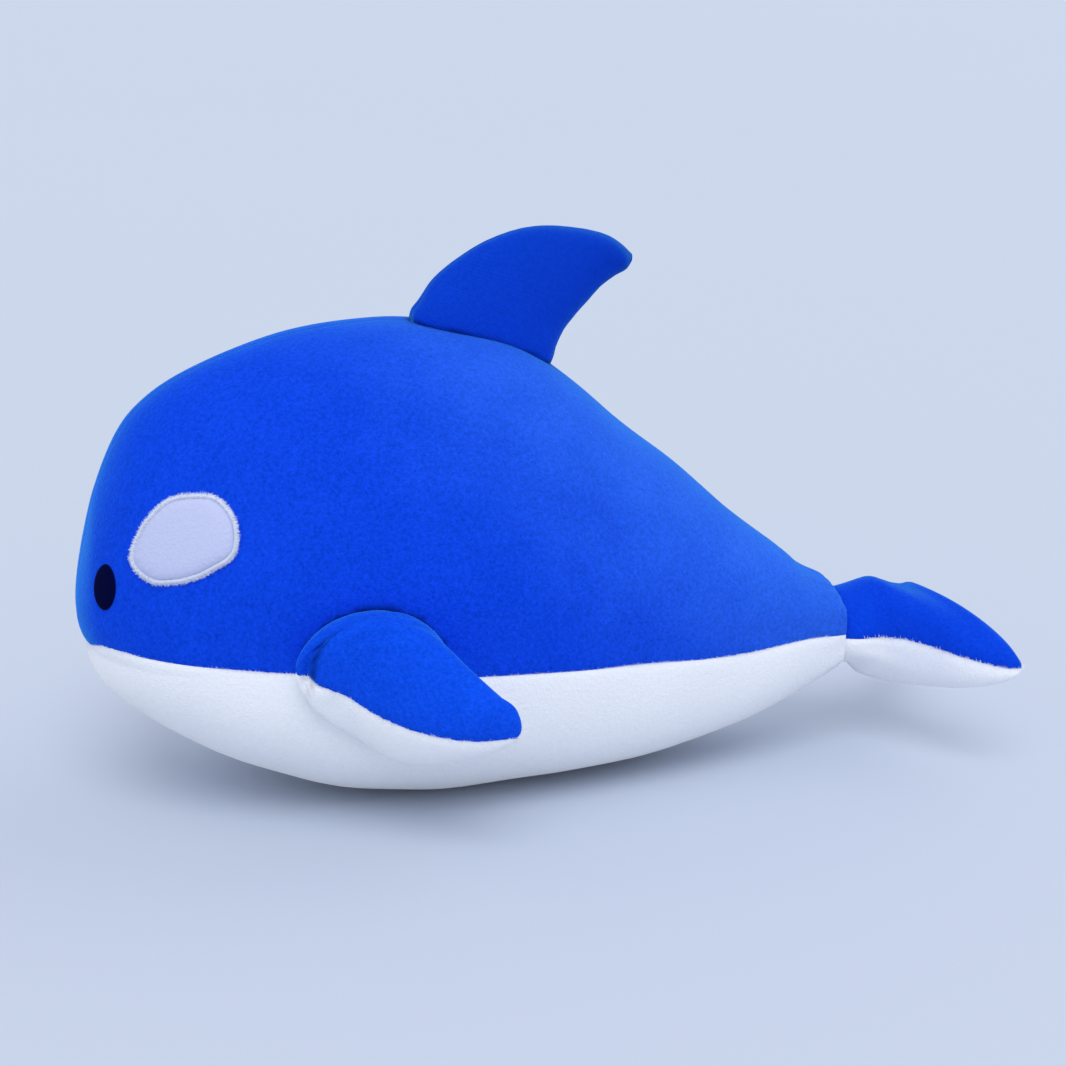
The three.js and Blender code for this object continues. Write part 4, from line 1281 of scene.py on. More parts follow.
def flat_limb(root, table, sizes, limbs, inset, tuck, deep):
    """A fin or flipper as rows round it, in its own directions: along, up and out."""
    rows, columns = limb_counts(limbs, deep)
    reach = sizes.reach
    neck = root.egg_length / root.half_length
    below = []
    for turn in root_turns(root, tuck):
        along = neck * root.length_share(turn)
        out = -root.half_thickness * math.sin(turn) / reach
        below.append([-along, out, along, out, math.cos(turn), math.cos(turn)])
    table = np.concatenate([np.array(below), table])
    scale = np.array([root.half_length, reach])
    places = outline_places(table[:, :2] * scale, table[:, 2:4] * scale)
    knots = there_and_back(places, -1)
    edge = np.concatenate([table[:, :2], table[:-1, 2:4][::-1]])
    thick = there_and_back(table[:, 4:], -1)

    def edge_at(place):
        return curve_through(knots, edge, place) * scale

    def thickness_at(place):
        return curve_through(knots, thick, place) * root.half_thickness - inset

    near_tip = np.linspace(0, SEARCH_SHARE, SEARCH_STEPS)
    width = (drawn_in(edge_at, near_tip, inset) - drawn_in(edge_at, -near_tip, inset))[:, 0]
    open_rows = (thickness_at(near_tip).min(axis=-1) > 0) & (width > 0)
    last = near_tip[np.argmax(open_rows)] if inset else 0
    near_pole = np.linspace(places[0], places[DEEP_ROWS], SEARCH_STEPS)
    pole = near_pole[np.argmax(thickness_at(near_pole).min(axis=-1) > 0)]
    first = pole if deep else places[DEEP_ROWS]
    at = last + (first - last) * row_shares(rows)
    lead = drawn_in(edge_at, -at, inset)[:, None]
    trail = drawn_in(edge_at, at, inset)[:, None]
    lead[-1] = trail[-1] = (lead[-1] + trail[-1]) / 2
    top, bottom = [np.maximum(part[:, None], 0) for part in thickness_at(at).T]
    top[-1] = bottom[-1] = 0
    if deep:
        top[0] = bottom[0] = 0
    turn = limb_turns(columns)[None]
    rearward = (1 + np.cos(turn)) / 2
    along = lead[..., 0] + (trail[..., 0] - lead[..., 0]) * rearward
    out = lead[..., 1] + (trail[..., 1] - lead[..., 1]) * rearward
    hang = sizes.lead_hang * np.sin(np.pi * np.clip(out / reach, 0, 1)) * (1 - rearward)
    droop = sizes.droop * np.maximum(out / reach, 0) ** 2
    near_root = np.clip(1 - (lead[..., 1] + trail[..., 1]) / reach / ROOT_FORM_SHARE, 0, 1)
    power = 2 + (root.bluntness - 2) * near_root
    puff = np.sign(np.sin(turn)) * np.maximum(1 - np.abs(np.cos(turn)) ** power, 0) ** (1 / power)
    up = np.where(np.sin(turn) > 0, top, bottom) * puff - droop - hang
    return np.stack([along, up, out], axis=-1)


def notched(share):
    soft = np.hypot(np.abs(share), NOTCH_SOFTNESS_SHARE) - NOTCH_SOFTNESS_SHARE
    return soft / (math.hypot(1, NOTCH_SOFTNESS_SHARE) - NOTCH_SOFTNESS_SHARE)


def tail_limb(root, limbs, inset, deep):
    """The tail as rows round it, in its own directions: across, up and back."""
    rows, columns = limb_counts(limbs, deep)
    reach = limbs.fluke_reach
    half_spread = limbs.tail_spread / 2
    below = []
    for turn in root_turns(root, limbs.tail_tuck):
        back = -root.half_thickness * math.sin(turn) / reach
        level = math.cos(turn)
        below.append([back, back, root.half_length * level / half_spread, level, level])
    table = np.concatenate([np.array(below), TAIL_ROW_SHARES])
    middle_line = np.stack([table[:, 0] * reach, table[:, 2] * 0], axis=1)
    side_line = np.stack([table[:, 1] * reach, table[:, 2] * half_spread], axis=1)
    places = outline_places(middle_line, side_line) ** 0.5
    knots = there_and_back(places, -1)
    even = there_and_back(table[:, :3])
    thick = there_and_back(table[:, 3:], -1)

    def edge_at(place):
        return curve_through(knots, even, place)[:, 2:0:-1] * np.array([half_spread, reach])

    def thickness_at(place):
        return curve_through(knots, thick, place) * root.half_thickness - inset

    near_tip = np.linspace(0, SEARCH_SHARE, SEARCH_STEPS)
    last = near_tip[np.argmax(thickness_at(near_tip).min(axis=-1) > 0)] if inset else 0
    first = places[0 if deep else DEEP_ROWS]
    at = last + (first - last) * row_shares(rows)
    middle = curve_through(knots, even, at)[:, :1]
    middle -= inset / reach * np.clip(middle / TAIL_ROW_SHARES[-1, 0], 0, 1) * NOTCH_INSETS
    half, side = [part[:, None] for part in drawn_in(edge_at, at, inset).T]
    side = side / reach
    top, bottom = [np.maximum(part[:, None], 0) for part in thickness_at(at).T]
    top[-1] = bottom[-1] = 0
    turn = limb_turns(columns)[None]
    fullness = 1 + (FLUKE_FULLNESS - 1) * np.clip((half / half_spread - TAIL_ROW_SHARES[0, 2]) * 2, 0, 1)
    across = half * np.cos(turn)
    sag = limbs.fluke_droop * (across / half_spread) ** 2
    twist = math.tan(limbs.tail_twist) * across * np.clip(middle / TAIL_ROW_SHARES[1, 0], 0, 1)
    back = middle + (side - middle) * notched(np.cos(turn))
    puff = np.sign(np.sin(turn)) * np.abs(np.sin(turn)) ** fullness
    hang = math.tan(limbs.tail_hang) * reach * np.maximum(back, 0)
    up = np.where(np.sin(turn) > 0, top, bottom) * puff - sag - twist - hang
    return np.stack([across, up, reach * back], axis=-1)


# Puckers beside a seam: how far their spacing wavers, in radians over so many spacings, their mean depth and
# its change over so many spacings, and their slant in radians for each metre.
PUCKER_WAVERS = ((1.3, 3.7), (0.9, 9.1))
PUCKER_DEPTH_SHARES = (0.6, 0.4)
PUCKER_DEPTH_WAVE = 5.3
PUCKER_SLANT = 90


def seam_puckers(along, around, spacing):
    """Puckers beside a seam, no two of them alike: deeper and shallower, closer and wider."""
    waves = 2 * np.pi * along
    wobble = sum(size * np.sin(waves / (spacing * length)) for size, length in PUCKER_WAVERS)
    mean, change = PUCKER_DEPTH_SHARES
    strength = mean + change * np.sin(waves / (spacing * PUCKER_DEPTH_WAVE) + 1)
    return strength * np.cos(waves / spacing + wobble + around * PUCKER_SLANT)


# Painted shade beside the body, and painted shade in a limb's folds: its gain over their depth, what is taken
# off, its most.
BESIDE_BODY_SHADE = 0.8
FOLD_SHADE_GAIN = 1.2
FOLD_SHADE_LOSS = 0.2
FOLD_SHADE_MOST = 0.85


def limb_crease_shade(now, root, places, fold_depth):
    """How much painted shade points of a limb get in a crease: beside the body, or in one of the limb's
    folds.
    """
    body = now.body
    step = body.sizes.cover_thickness / 4
    behind = np.maximum(places[:, 0] - body.sizes.length, 0)
    beside = places.copy()
    beside[:, 0] = np.minimum(places[:, 0], body.sizes.length - step)
    level = body.outside(beside)
    slope = [body.outside(beside + axis * step) - level for axis in np.eye(3)]
    away = np.maximum(level * step / np.maximum(np.linalg.norm(slope, axis=0), TINY), 0)
    beside_body = BESIDE_BODY_SHADE * np.exp(-np.hypot(away, behind) / now.limbs.crease_shade_reach)
    folds = -fold_depth(root.to_limb(places)[None], 1)[0] / now.limbs.fold_depth
    return np.maximum(beside_body, np.clip(folds * FOLD_SHADE_GAIN - FOLD_SHADE_LOSS, 0, FOLD_SHADE_MOST))


def limb_normals(grid):
    normals = grid_normals(grid)
    normals[-1] = normals[-2]
    return normals


def folded(grid, fold_depth, widen):
    """Rows of a limb moved along their outward directions by its folds."""
    return grid + limb_normals(grid) * fold_depth(grid, widen)[..., None]


# How much wider a limb's folds are on the inside of its cover and on its filling, which keeps these inside.
INNER_WIDEN = 1.5
FILLING_WIDEN = 2.6

# Girth of a limb, near its tip, below which its seam's roll and puckers grow shallower.
THIN_GIRTH = 0.02

# How far the pile at a limb's seam leans upward from it, and how near two points of its path count as one.
SEAM_PILE_LEAN = 0.5
SAME_PLACE = 1e-5


def sewn_limb(now, root, layer_at, stem, panels, body_name, pucker_depth, fold_depth):
    """Two cover panels that meet at the seam round a limb's edge, and the filling inside. Gives back the
    seam's path, the directions in which its pile stands out, and what the limb's cloth follows."""
    sizes = now.body.sizes
    carried = bend_over(now, root, body_name)
    grid = layer_at(0, False)
    columns = grid.shape[1]
    half = columns // 2
    normals = limb_normals(grid)
    around = run_along(looped(grid), 1)
    along = run_along(looped(grid), 0)
    whole = around[:, -1:]
    away = np.minimum(around, whole - around)
    away = np.minimum(away, np.abs(around - around[:, half:half + 1]))
    girth = np.clip(whole / THIN_GIRTH, 0, 1)
    roll = now.limbs.seam_roll * faded(away, sizes.seam_reach, ROLL_POWER)
    puckers = seam_puckers(along, around, now.limbs.pucker_spacing)
    pucker = pucker_depth * puckers * np.exp(-away / now.limbs.pucker_reach)
    depth = ((pucker - roll) * girth)[:, :-1]
    outer = folded(grid + normals * depth[..., None], fold_depth, 1)
    inner = folded(layer_at(sizes.cover_thickness, False), fold_depth, INNER_WIDEN)
    outside, inside = [root.to_body(looped(layer)) + now.nose for layer in (outer, inner)]
    flat = np.stack([along, around], axis=-1)
    spans = (slice(0, half + 1), slice(half, columns + 1))
    for (side, (cloth, slot)), span in zip(panels.items(), spans):
        layers = [layer[:, span] for layer in (outside, inside, flat)]
        cover = shell_piece(f"{stem}_{side}_cover", *layers, sizes.seam_gap)
        paint_crease_shade(cover, lambda places: limb_crease_shade(now, root, places - now.nose, fold_depth))
        dress(cover, cloth, carried, [f"{stem}_{side}_panel"])
    filling_inset = sizes.cover_thickness + sizes.filling_gap
    filling_grid = folded(layer_at(filling_inset, True), fold_depth, FILLING_WIDEN)
    filling = closed_piece(f"{stem}_stuffing", root.to_body(filling_grid) + now.nose, draw_ends=False)
    dress(filling, filling_material(now.finish), carried, [f"{stem}_filling"])
    first = np.argmax(grid[:, 0, 2] > 0)
    rounds = [[layer[first:, 0], layer[-1, 1:half], layer[first:, half][::-1]] for layer in (outer, normals)]
    path, outward = [np.concatenate(parts) for parts in rounds]
    apart = np.linalg.norm(np.diff(path, axis=0, prepend=path[:1] - 1), axis=1) > SAME_PLACE
    stand = unit(outward[apart] @ root.axes + root.axes[1] * SEAM_PILE_LEAN)
    return SimpleNamespace(path=root.to_body(path[apart]) + now.nose, stand=stand, carried=carried)


class PLUSHWHALE_OT_dorsal_fin(bpy.types.Operator):
    """Build the dorsal fin: two covers and the filling"""

    bl_idname = "plush_whale.dorsal_fin"
    bl_label = "Dorsal fin"

    def execute(self, context):
        now = settings_now()
        limbs = now.limbs
        root = fin_root(now.body, limbs)
        sizes = SimpleNamespace(reach=limbs.fin_reach, droop=0, lead_hang=0)

        def layer_at(inset, deep):
            return flat_limb(root, FIN_ROW_SHARES, sizes, limbs, inset, limbs.fin_tuck, deep)

        def no_folds(grid, widen):
            return np.zeros(grid.shape[:2])

        cloth = fin_shaded_velour(now.finish)
        panels = {"right": (cloth, "blue_velour"), "left": (cloth, "blue_velour")}
        sewn_limb(now, root, layer_at, "dorsal_fin", panels, "dorsal_fin", limbs.fin_pucker, no_folds)
        return {"FINISHED"}


# The deep fold in front of a flipper's root. Its ends are turns from the front upward, with the turns over
# which it fades there. Its place, its bow away from the body and its width are shares of the reach.
FOLD_END_TURNS = (math.radians(-35), math.radians(78))
FOLD_END_FADES = (0.5, 0.6)
FOLD_PLACE_SHARE = 0.035
FOLD_BOW_SHARE = 0.1
FOLD_WIDTH_SHARE = 0.045
FOLD_POWER = 1.3
# How much a wider fold is deeper too.
FOLD_DEEPENING = 0.3

# The bulge beyond the fold: its height in fold depths, how far beyond it lies and how wide it is.
CHEEK_DEPTH_SHARE = 0.3
CHEEK_PLACE_SHARE = 0.1
CHEEK_WIDTH_SHARE = 0.06

# Soft folds that fan out on top: the place ahead of the root and out that they fan out from, their depth in
# fold depths, their number in a whole turn and how far they spread, in radians. Then where behind that place
# they start and end, in half root lengths, how quickly they deepen toward the top and what is taken off that.
FAN_START_SHARE = 1.05
FAN_PLACE_SHARE = 0.06
FAN_DEPTH_SHARE = 0.17
FAN_FOLDS = 44
FAN_TURN = 0.4
FAN_FROM_SHARE = 0.35
FAN_TO_SHARE = 1.5
FAN_RISE = 3
FAN_RISE_LOSS = 1.2


def flipper_folds(grid, widen, root, limbs):
    """Folds of a flipper: one deep crease in front of its root, and soft ones that fan out behind it. The
    crease is wider in the inner layers, which keeps them inside."""
    along = grid[..., 0] / root.half_length
    up = grid[..., 1] / root.half_thickness
    out = grid[..., 2] / limbs.flipper_reach
    turn = np.arctan2(up, -along)
    above = np.clip((FOLD_END_TURNS[1] - turn) / FOLD_END_FADES[1], 0, 1)
    front = above * np.clip((turn - FOLD_END_TURNS[0]) / FOLD_END_FADES[0], 0, 1)
    path = out - FOLD_PLACE_SHARE + FOLD_BOW_SHARE * up ** 2
    deepen = 1 + (widen - 1) * FOLD_DEEPENING
    crease = -limbs.fold_depth * deepen * front * faded(np.abs(path), FOLD_WIDTH_SHARE * widen, FOLD_POWER)
    beyond = faded(path - CHEEK_PLACE_SHARE, CHEEK_WIDTH_SHARE, 2)
    cheek = limbs.fold_depth * CHEEK_DEPTH_SHARE * front * beyond
    run = along + FAN_START_SHARE
    ray = np.arctan2((out - FAN_PLACE_SHARE) * limbs.flipper_reach, run * root.half_length)
    fade = np.clip(run - FAN_FROM_SHARE, 0, 1) * faded(run, FAN_TO_SHARE, 4)
    on_top = np.clip(up * FAN_RISE - FAN_RISE_LOSS, 0, 1)
    depth = limbs.fold_depth * FAN_DEPTH_SHARE * np.cos(ray * FAN_FOLDS)
    return crease + cheek + depth * fade * on_top * faded(ray, FAN_TURN, 2)


# Pleats under the tail: their number round its root, how far their spacing wavers and how often. Then
# how quickly they deepen below, how far behind the bend they start, and the power with which they fade.
TAIL_PLEATS = (13, 1.4, 4)
TAIL_PLEAT_RISE = 1.5
TAIL_PLEAT_START = 0.002
TAIL_PLEAT_POWER = 1.5


def tail_folds(grid, root, limbs):
    """Pleats under the tail where it is gathered into its root."""
    under = np.clip(-grid[..., 1] / root.half_thickness * TAIL_PLEAT_RISE, 0, 1)
    turn = np.arctan2(grid[..., 0] / root.half_length, -grid[..., 1] / root.half_thickness)
    behind = np.maximum(grid[..., 2], 0)
    fade = faded(behind, limbs.pleat_reach, TAIL_PLEAT_POWER) * np.clip(behind / TAIL_PLEAT_START, 0, 1)
    return limbs.pleat_depth * under * fade * wavering(turn, *TAIL_PLEATS)


def blue_over_white(now, blue_cloth):
    """Cloths of a limb that is blue above and white below, with their slots."""
    return {
        "upper": (blue_cloth(now.finish), "blue_velour"),
        "lower": (white_velour(now.finish), "white_velour"),
    }


# Length of the pile that stands out at a limb's seam, as a multiple of the fringe length.
LIMB_FRINGE_SHARE = 1.6


def fringe_limb(now, stem, seam):
    cloth = white_velour(now.finish)
    add_fringe(now, f"{stem}_pile", seam, cloth, length_share=LIMB_FRINGE_SHARE)


class PLUSHWHALE_OT_flippers(bpy.types.Operator):
    """Build both flippers, blue above and white below"""

    bl_idname = "plush_whale.flippers"
    bl_label = "Flippers"

    def execute(self, context):
        now = settings_now()
        for name, side in SIDES.items():
            self.add_flipper(now, f"flipper_{name}", side)
        return {"FINISHED"}

    def add_flipper(self, now, name, side):
        limbs = now.limbs
        root = flipper_root(now.body, limbs, side)
        sizes = SimpleNamespace(
            reach=limbs.flipper_reach, droop=limbs.flipper_droop, lead_hang=limbs.flipper_lead_hang
        )

        def layer_at(inset, deep):
            return flat_limb(root, FLIPPER_ROW_SHARES, sizes, limbs, inset, limbs.flipper_tuck, deep)

        def folds(grid, widen):
            return flipper_folds(grid, widen, root, limbs)

        panels = blue_over_white(now, flipper_lit_velour)
        seam = sewn_limb(now, root, layer_at, name, panels, name, limbs.flipper_pucker, folds)
        fringe_limb(now, name, seam)


class PLUSHWHALE_OT_tail(bpy.types.Operator):
    """Build the tail with its two flukes"""

    bl_idname = "plush_whale.tail"
    bl_label = "Tail"

    def execute(self, context):
        now = settings_now()
        limbs = now.limbs
        root = tail_root(now.body, limbs)

        def layer_at(inset, deep):
            return tail_limb(root, limbs, inset, deep)

        def pleats(grid, widen):
            return tail_folds(grid, root, limbs)

        panels = blue_over_white(now, tail_velour)
        seam = sewn_limb(now, root, layer_at, "tail", panels, "tail_flukes", limbs.tail_pucker, pleats)
        fringe_limb(now, "tail", seam)
        return {"FINISHED"}


# Trim on the head.


# Rows of a cushion start and end this near to its middle, as a share, and crowd toward its edge.
CUSHION_MIDDLE_SHARE = 0.04
CUSHION_CROWDING = 1.4

# Rows and columns of a patch and of an eye, and of the core under a stitched border.
PATCH_COUNTS = (40, 144)
EYE_COUNTS = (28, 96)
CORE_COUNTS = (420, 12)

# Powers that shape the side of a patch and of an eye: how flat it is on top, and how steep at the edge.
PATCH_POWERS = (7, 0.5)
EYE_POWERS = (6, 0.6)

# Wrinkles round a patch: their number, how far their spacing wavers and how often. Then where they are
# deepest and how wide they are, as shares of the way from the middle to the edge.
WRINKLES = (34, 1.5, 5)
WRINKLE_PLACE_SHARE = 0.9
WRINKLE_WIDTH_SHARE = 0.07

# Half the core's width and half its height, as shares of the border's. Then where on the border loose fibres
# stand, in widths outward and heights upward, and how far they lean up.
CORE_SIZE_SHARES = (0.42, 0.3)
FRAYED_PLACE_SHARES = (0.45, 0.3)
FRAYED_LEAN = 0.5

# Points of a closed curve that are worked out for each one that is kept.
CURVE_FINENESS = 8


def seat_at(now, x, z, tilt, side):
    """A place on the skin with its directions rearward, upward and outward."""
    body = now.body
    middle = body.side_point(x, z, side)
    step = body.sizes.cover_thickness
    outward = unit(np.array([
        body.outside(middle + axis * step) - body.outside(middle - axis * step) for axis in np.eye(3)
    ]))
    level = unit(np.array([1, -outward[0] / outward[1], 0]))
    upward = -side * np.cross(outward, level)
    return SimpleNamespace(
        middle=middle,
        outward=outward,
        rearward=level * math.cos(tilt) + upward * math.sin(tilt),
        across=upward * math.cos(tilt) - level * math.sin(tilt),
    )


def over_skin(now, seat, along, across, height):
    """Points over the skin, given in the plane of the seat and by their height over the skin."""
    plane = seat.middle + along[..., None] * seat.rearward + across[..., None] * seat.across
    skin = now.body.onto(plane, seat.outward, now.trim.patch_length)
    lift = height + hand_wave(skin, now.body.sizes.hand_wave)
    return skin + lift[..., None] * seat.outward + now.nose


def closed_curve(corners, count):
    """Even points of a smooth closed curve through the corners."""
    number = len(corners)
    order = np.arange(-2, number + 3)
    fine = curve_through(order, corners[order % number], np.linspace(0, number, count * CURVE_FINENESS + 1))
    run = run_along(fine, 0)
    even = np.linspace(0, run[-1], count, endpoint=False)
    return np.stack([np.interp(even, run, fine[:, part]) for part in range(2)], axis=-1)


def patch_outline(trim, count):
    turns = np.arange(len(PATCH_OUTLINE_SHARES)) / len(PATCH_OUTLINE_SHARES) * 2 * np.pi
    corners = np.stack([np.cos(turns), np.sin(turns)], axis=-1) * PATCH_OUTLINE_SHARES[:, None]
    return closed_curve(corners * trim.patch_length / 2, count)


def eye_outline(trim, count):
    turns = np.arange(count) / count * 2 * np.pi
    c = np.cos(turns)
    s = np.sin(turns)
    reach = (np.abs(c) ** EYE_POINTEDNESS + np.abs(s) ** EYE_POINTEDNESS) ** (-1 / EYE_POINTEDNESS)
    return np.stack([trim.eye_height / 2 * reach * c, trim.eye_width / 2 * reach * s], axis=-1)


def outline_outward(outline):
    along = unit(np.roll(outline, -1, axis=0) - np.roll(outline, 1, axis=0))
    return np.stack([along[:, 1], -along[:, 0]], axis=-1)


def cushion_rows(rows):
    """Where a cushion's rows lie between its middle and its edge, first on its underside and then on top."""
    under = np.linspace(CUSHION_MIDDLE_SHARE, 1, rows // 2)
    over = 1 - np.linspace(0, 1 - CUSHION_MIDDLE_SHARE, rows) ** CUSHION_CROWDING
    return under, over


def cushion(now, seat, name, outline, rows, puff, powers, relief=None):
    """A low cushion on the skin: its underside out to the outline, then its top back to the middle. The
    relief is added to the height of its top."""
    flatness, steepness = powers
    under, over = cushion_rows(rows)
    share = np.concatenate([under, over])
    height = np.concatenate([np.zeros_like(under), puff * (1 - over ** flatness) ** steepness])
    flat = share[:, None, None] * outline
    lift = np.broadcast_to((now.trim.trim_gap + height)[:, None], flat.shape[:2])
    if relief is not None:
        lift = lift + relief
    return closed_piece(name, over_skin(now, seat, flat[..., 0], flat[..., 1], lift), flat)


class PLUSHWHALE_OT_eye_patches(bpy.types.Operator):
    """Build the padded eye patches and their satin-stitched borders"""

    bl_idname = "plush_whale.eye_patches"
    bl_label = "Eye patches"

    def execute(self, context):
        now = settings_now()
        for name, side in SIDES.items():
            seat = seat_at(now, now.trim.patch_place, now.trim.patch_height, now.trim.patch_tilt, side)
            self.add_patch(now, name, seat)
            self.add_stitching(now, name, seat)
        return {"FINISHED"}

    def add_patch(self, now, name, seat):
        trim = now.trim
        rows, columns = PATCH_COUNTS
        outline = patch_outline(trim, columns)
        outline = outline + outline_outward(outline) * trim.trim_gap * 2
        turn = np.arange(columns) / columns * 2 * np.pi
        under, over = cushion_rows(rows)
        fade = faded(over - WRINKLE_PLACE_SHARE, WRINKLE_WIDTH_SHARE, 2)
        fade = np.concatenate([np.zeros_like(under), fade])
        wrinkle = fade[:, None] * trim.patch_wrinkle * wavering(turn, *WRINKLES)[None]
        patch = cushion(
            now, seat, f"eye_patch_{name}_cushion", outline, rows, trim.patch_puff, PATCH_POWERS, wrinkle
        )
        dress(patch, patch_velour(now.finish), "torso", [f"eye_patch_{name}"])

    def add_stitching(self, now, name, seat):
        trim = now.trim
        rows, columns = CORE_COUNTS
        outline = patch_outline(trim, rows)
        outward = outline_outward(outline)
        middle = outline + outward * (trim.trim_gap + trim.border_width / 2)
        turns = np.linspace(0, 2 * np.pi, columns, endpoint=False)
        wide = trim.border_width * CORE_SIZE_SHARES[0] * np.cos(turns)
        high = trim.border_height * CORE_SIZE_SHARES[1] * (1 + np.sin(turns))
        flat = middle[:, None] + outward[:, None] * wide[None, :, None]
        lift = np.broadcast_to(trim.trim_gap + high, flat.shape[:2])
        tube = over_skin(now, seat, flat[..., 0], flat[..., 1], lift)
        ring = np.concatenate([tube, tube[:1]])
        core = closed_piece("stitch_core", ring, draw_ends=False)
        low = np.full(rows, trim.trim_gap)
        path = over_skin(now, seat, middle[:, 0], middle[:, 1], low)
        beside = over_skin(now, seat, *(middle + outward * trim.border_width / 2).T, low)
        across = unit(beside - path)
        stand = unit(np.cross(across, np.roll(path, -1, axis=0) - np.roll(path, 1, axis=0)))
        stand *= np.sign((stand @ seat.outward).mean())
        directions = {"stand": stand, "across": across}
        threads = path_piece(f"eye_patch_{name}_satin_stitches", path, directions, closed=True)
        material = thread_material(now.finish)
        grow(threads, satin_tree(), {
            "Spacing": trim.thread_spacing,
            "Width": trim.border_width,
            "Height": trim.border_height,
            "Thickness": trim.thread_thickness,
            "Material": material,
        })
        join(threads, core)
        dress(threads, material, "torso", [f"eye_patch_stitching_{name}"])
        aside, above = FRAYED_PLACE_SHARES
        edge = path + across * trim.border_width * aside + stand * trim.border_height * above
        seam = SimpleNamespace(path=edge, stand=unit(across + stand * FRAYED_LEAN), carried="torso")
        add_fringe(now, f"eye_patch_{name}_frayed_ends", seam, material, closed=True)


class PLUSHWHALE_OT_eyes(bpy.types.Operator):
    """Build the dark pointed eyes"""

    bl_idname = "plush_whale.eyes"
    bl_label = "Eyes"

    def execute(self, context):
        now = settings_now()
        trim = now.trim
        rows, columns = EYE_COUNTS
        for name, side in SIDES.items():
            seat = seat_at(now, trim.eye_place, trim.eye_level, trim.eye_tilt, side)
            outline = eye_outline(trim, columns)
            eye = cushion(now, seat, f"eye_{name}_felt", outline, rows, trim.eye_puff, EYE_POWERS)
            dress(eye, felt_material(now.finish), "torso", [f"eye_{name}"])
        return {"FINISHED"}


# Threads and fibres that repeat along a path.


def path_piece(name, points, directions, closed):
    """A line of points that carries directions for what grows along it."""
    count = len(points)
    edges = [(index, index + 1) for index in range(count - 1)]
    if closed:
        edges.append((count - 1, 0))
    mesh = bpy.data.meshes.new(name)
    mesh.from_pydata(points.tolist(), edges, [])
    for label, vectors in directions.items():
        attribute = mesh.attributes.new(label, "FLOAT_VECTOR", "POINT")
        attribute.data.foreach_set("vector", np.asarray(vectors, dtype=np.float32).ravel())
    piece = bpy.data.objects.new(name, mesh)
    bpy.context.scene.collection.objects.link(piece)
    return piece


def grow(piece, group, values):
    """Runs a node tree on a piece and keeps the result as its plain mesh."""
    modifier = piece.modifiers.new(group.name, "NODES")
    modifier.node_group = group
    for socket in group.interface.items_tree:
        if socket.item_type == "SOCKET" and socket.in_out == "INPUT" and socket.name in values:
            modifier[socket.identifier] = values[socket.name]
    freeze(piece)
    if not piece.data.polygons:
        raise RuntimeError(f"nothing grew on {piece.name}")


def join(piece, other):
    """Adds another object's mesh to a piece."""
    both = bmesh.new()
    both.from_mesh(piece.data)
    both.from_mesh(other.data)
    both.to_mesh(piece.data)
    both.free()
    piece.data.shade_smooth()
    discard([other])


def spaced_points(group, source):
    """Even points along the path that comes in."""
    curve = node(group, "GeometryNodeMeshToCurve", Mesh=source.outputs["Geometry"]).outputs["Curve"]
    spacing = source.outputs["Spacing"]
    spaced = node(group, "GeometryNodeResampleCurve", mode="LENGTH", Curve=curve, Length=spacing)
    return spaced.outputs["Curve"]


def random_value(group, source, kind, low, high, extra_seed):
    """A random number or direction for each point. Its sockets are chosen by number, because every kind has
    its own of the same name."""
    seed = maths(group, "ADD", source.outputs["Seed"], float(extra_seed))
    made = node(group, "FunctionNodeRandomValue", data_type=kind, Seed=seed)
    first_input, output = {"FLOAT_VECTOR": (0, 0), "FLOAT": (2, 1)}[kind]
    made.inputs[first_input].default_value = low
    made.inputs[first_input + 1].default_value = high
    return made.outputs[output]


def random_offset(group, source, most, extra_seed):
    return random_value(group, source, "FLOAT_VECTOR", (-most,) * 3, (most,) * 3, extra_seed)


def carried_direction(group, label):
    """A direction that the path's points carry."""
    made = node(group, "GeometryNodeInputNamedAttribute", data_type="FLOAT_VECTOR", Name=label)
    return made.outputs["Attribute"]


def leaning(group, source, label, most, extra_seed):
    """A direction that the path's points carry, leaning each another way."""
    made = node(group, "ShaderNodeVectorMath", operation="ADD")
    group.links.new(carried_direction(group, label), made.inputs[0])
    group.links.new(random_offset(group, source, most, extra_seed), made.inputs[1])
    return made.outputs["Vector"]


def turned_to(group, axis, direction, **values):
    made = node(group, "FunctionNodeAlignRotationToVector", axis=axis, **values, Vector=direction)
    return made.outputs["Rotation"]


def place_items(group, source, result, points, item, rotation, scale):
    """Puts an item on each point, as plain faces with the material that comes in."""
    placed = node(
        group, "GeometryNodeInstanceOnPoints", Points=points, Instance=item, Rotation=rotation, Scale=scale
    )
    real = node(group, "GeometryNodeRealizeInstances", Geometry=placed.outputs["Instances"])
    material = source.outputs["Material"]
    coat = node(group, "GeometryNodeSetMaterial", Geometry=real.outputs["Geometry"], Material=material)
    fill(group, result, Geometry=coat.outputs["Geometry"])


# Points of a thread's arch, corners of its section, how far it may lean, and the least and the most of its
# random size.
ARCH_POINTS = 6
THREAD_CORNERS = 5
THREAD_LEAN = 0.3
THREAD_SIZE_SHARES = ((0.8, 0.9, 0.8), (1.3, 1.1, 1.2))


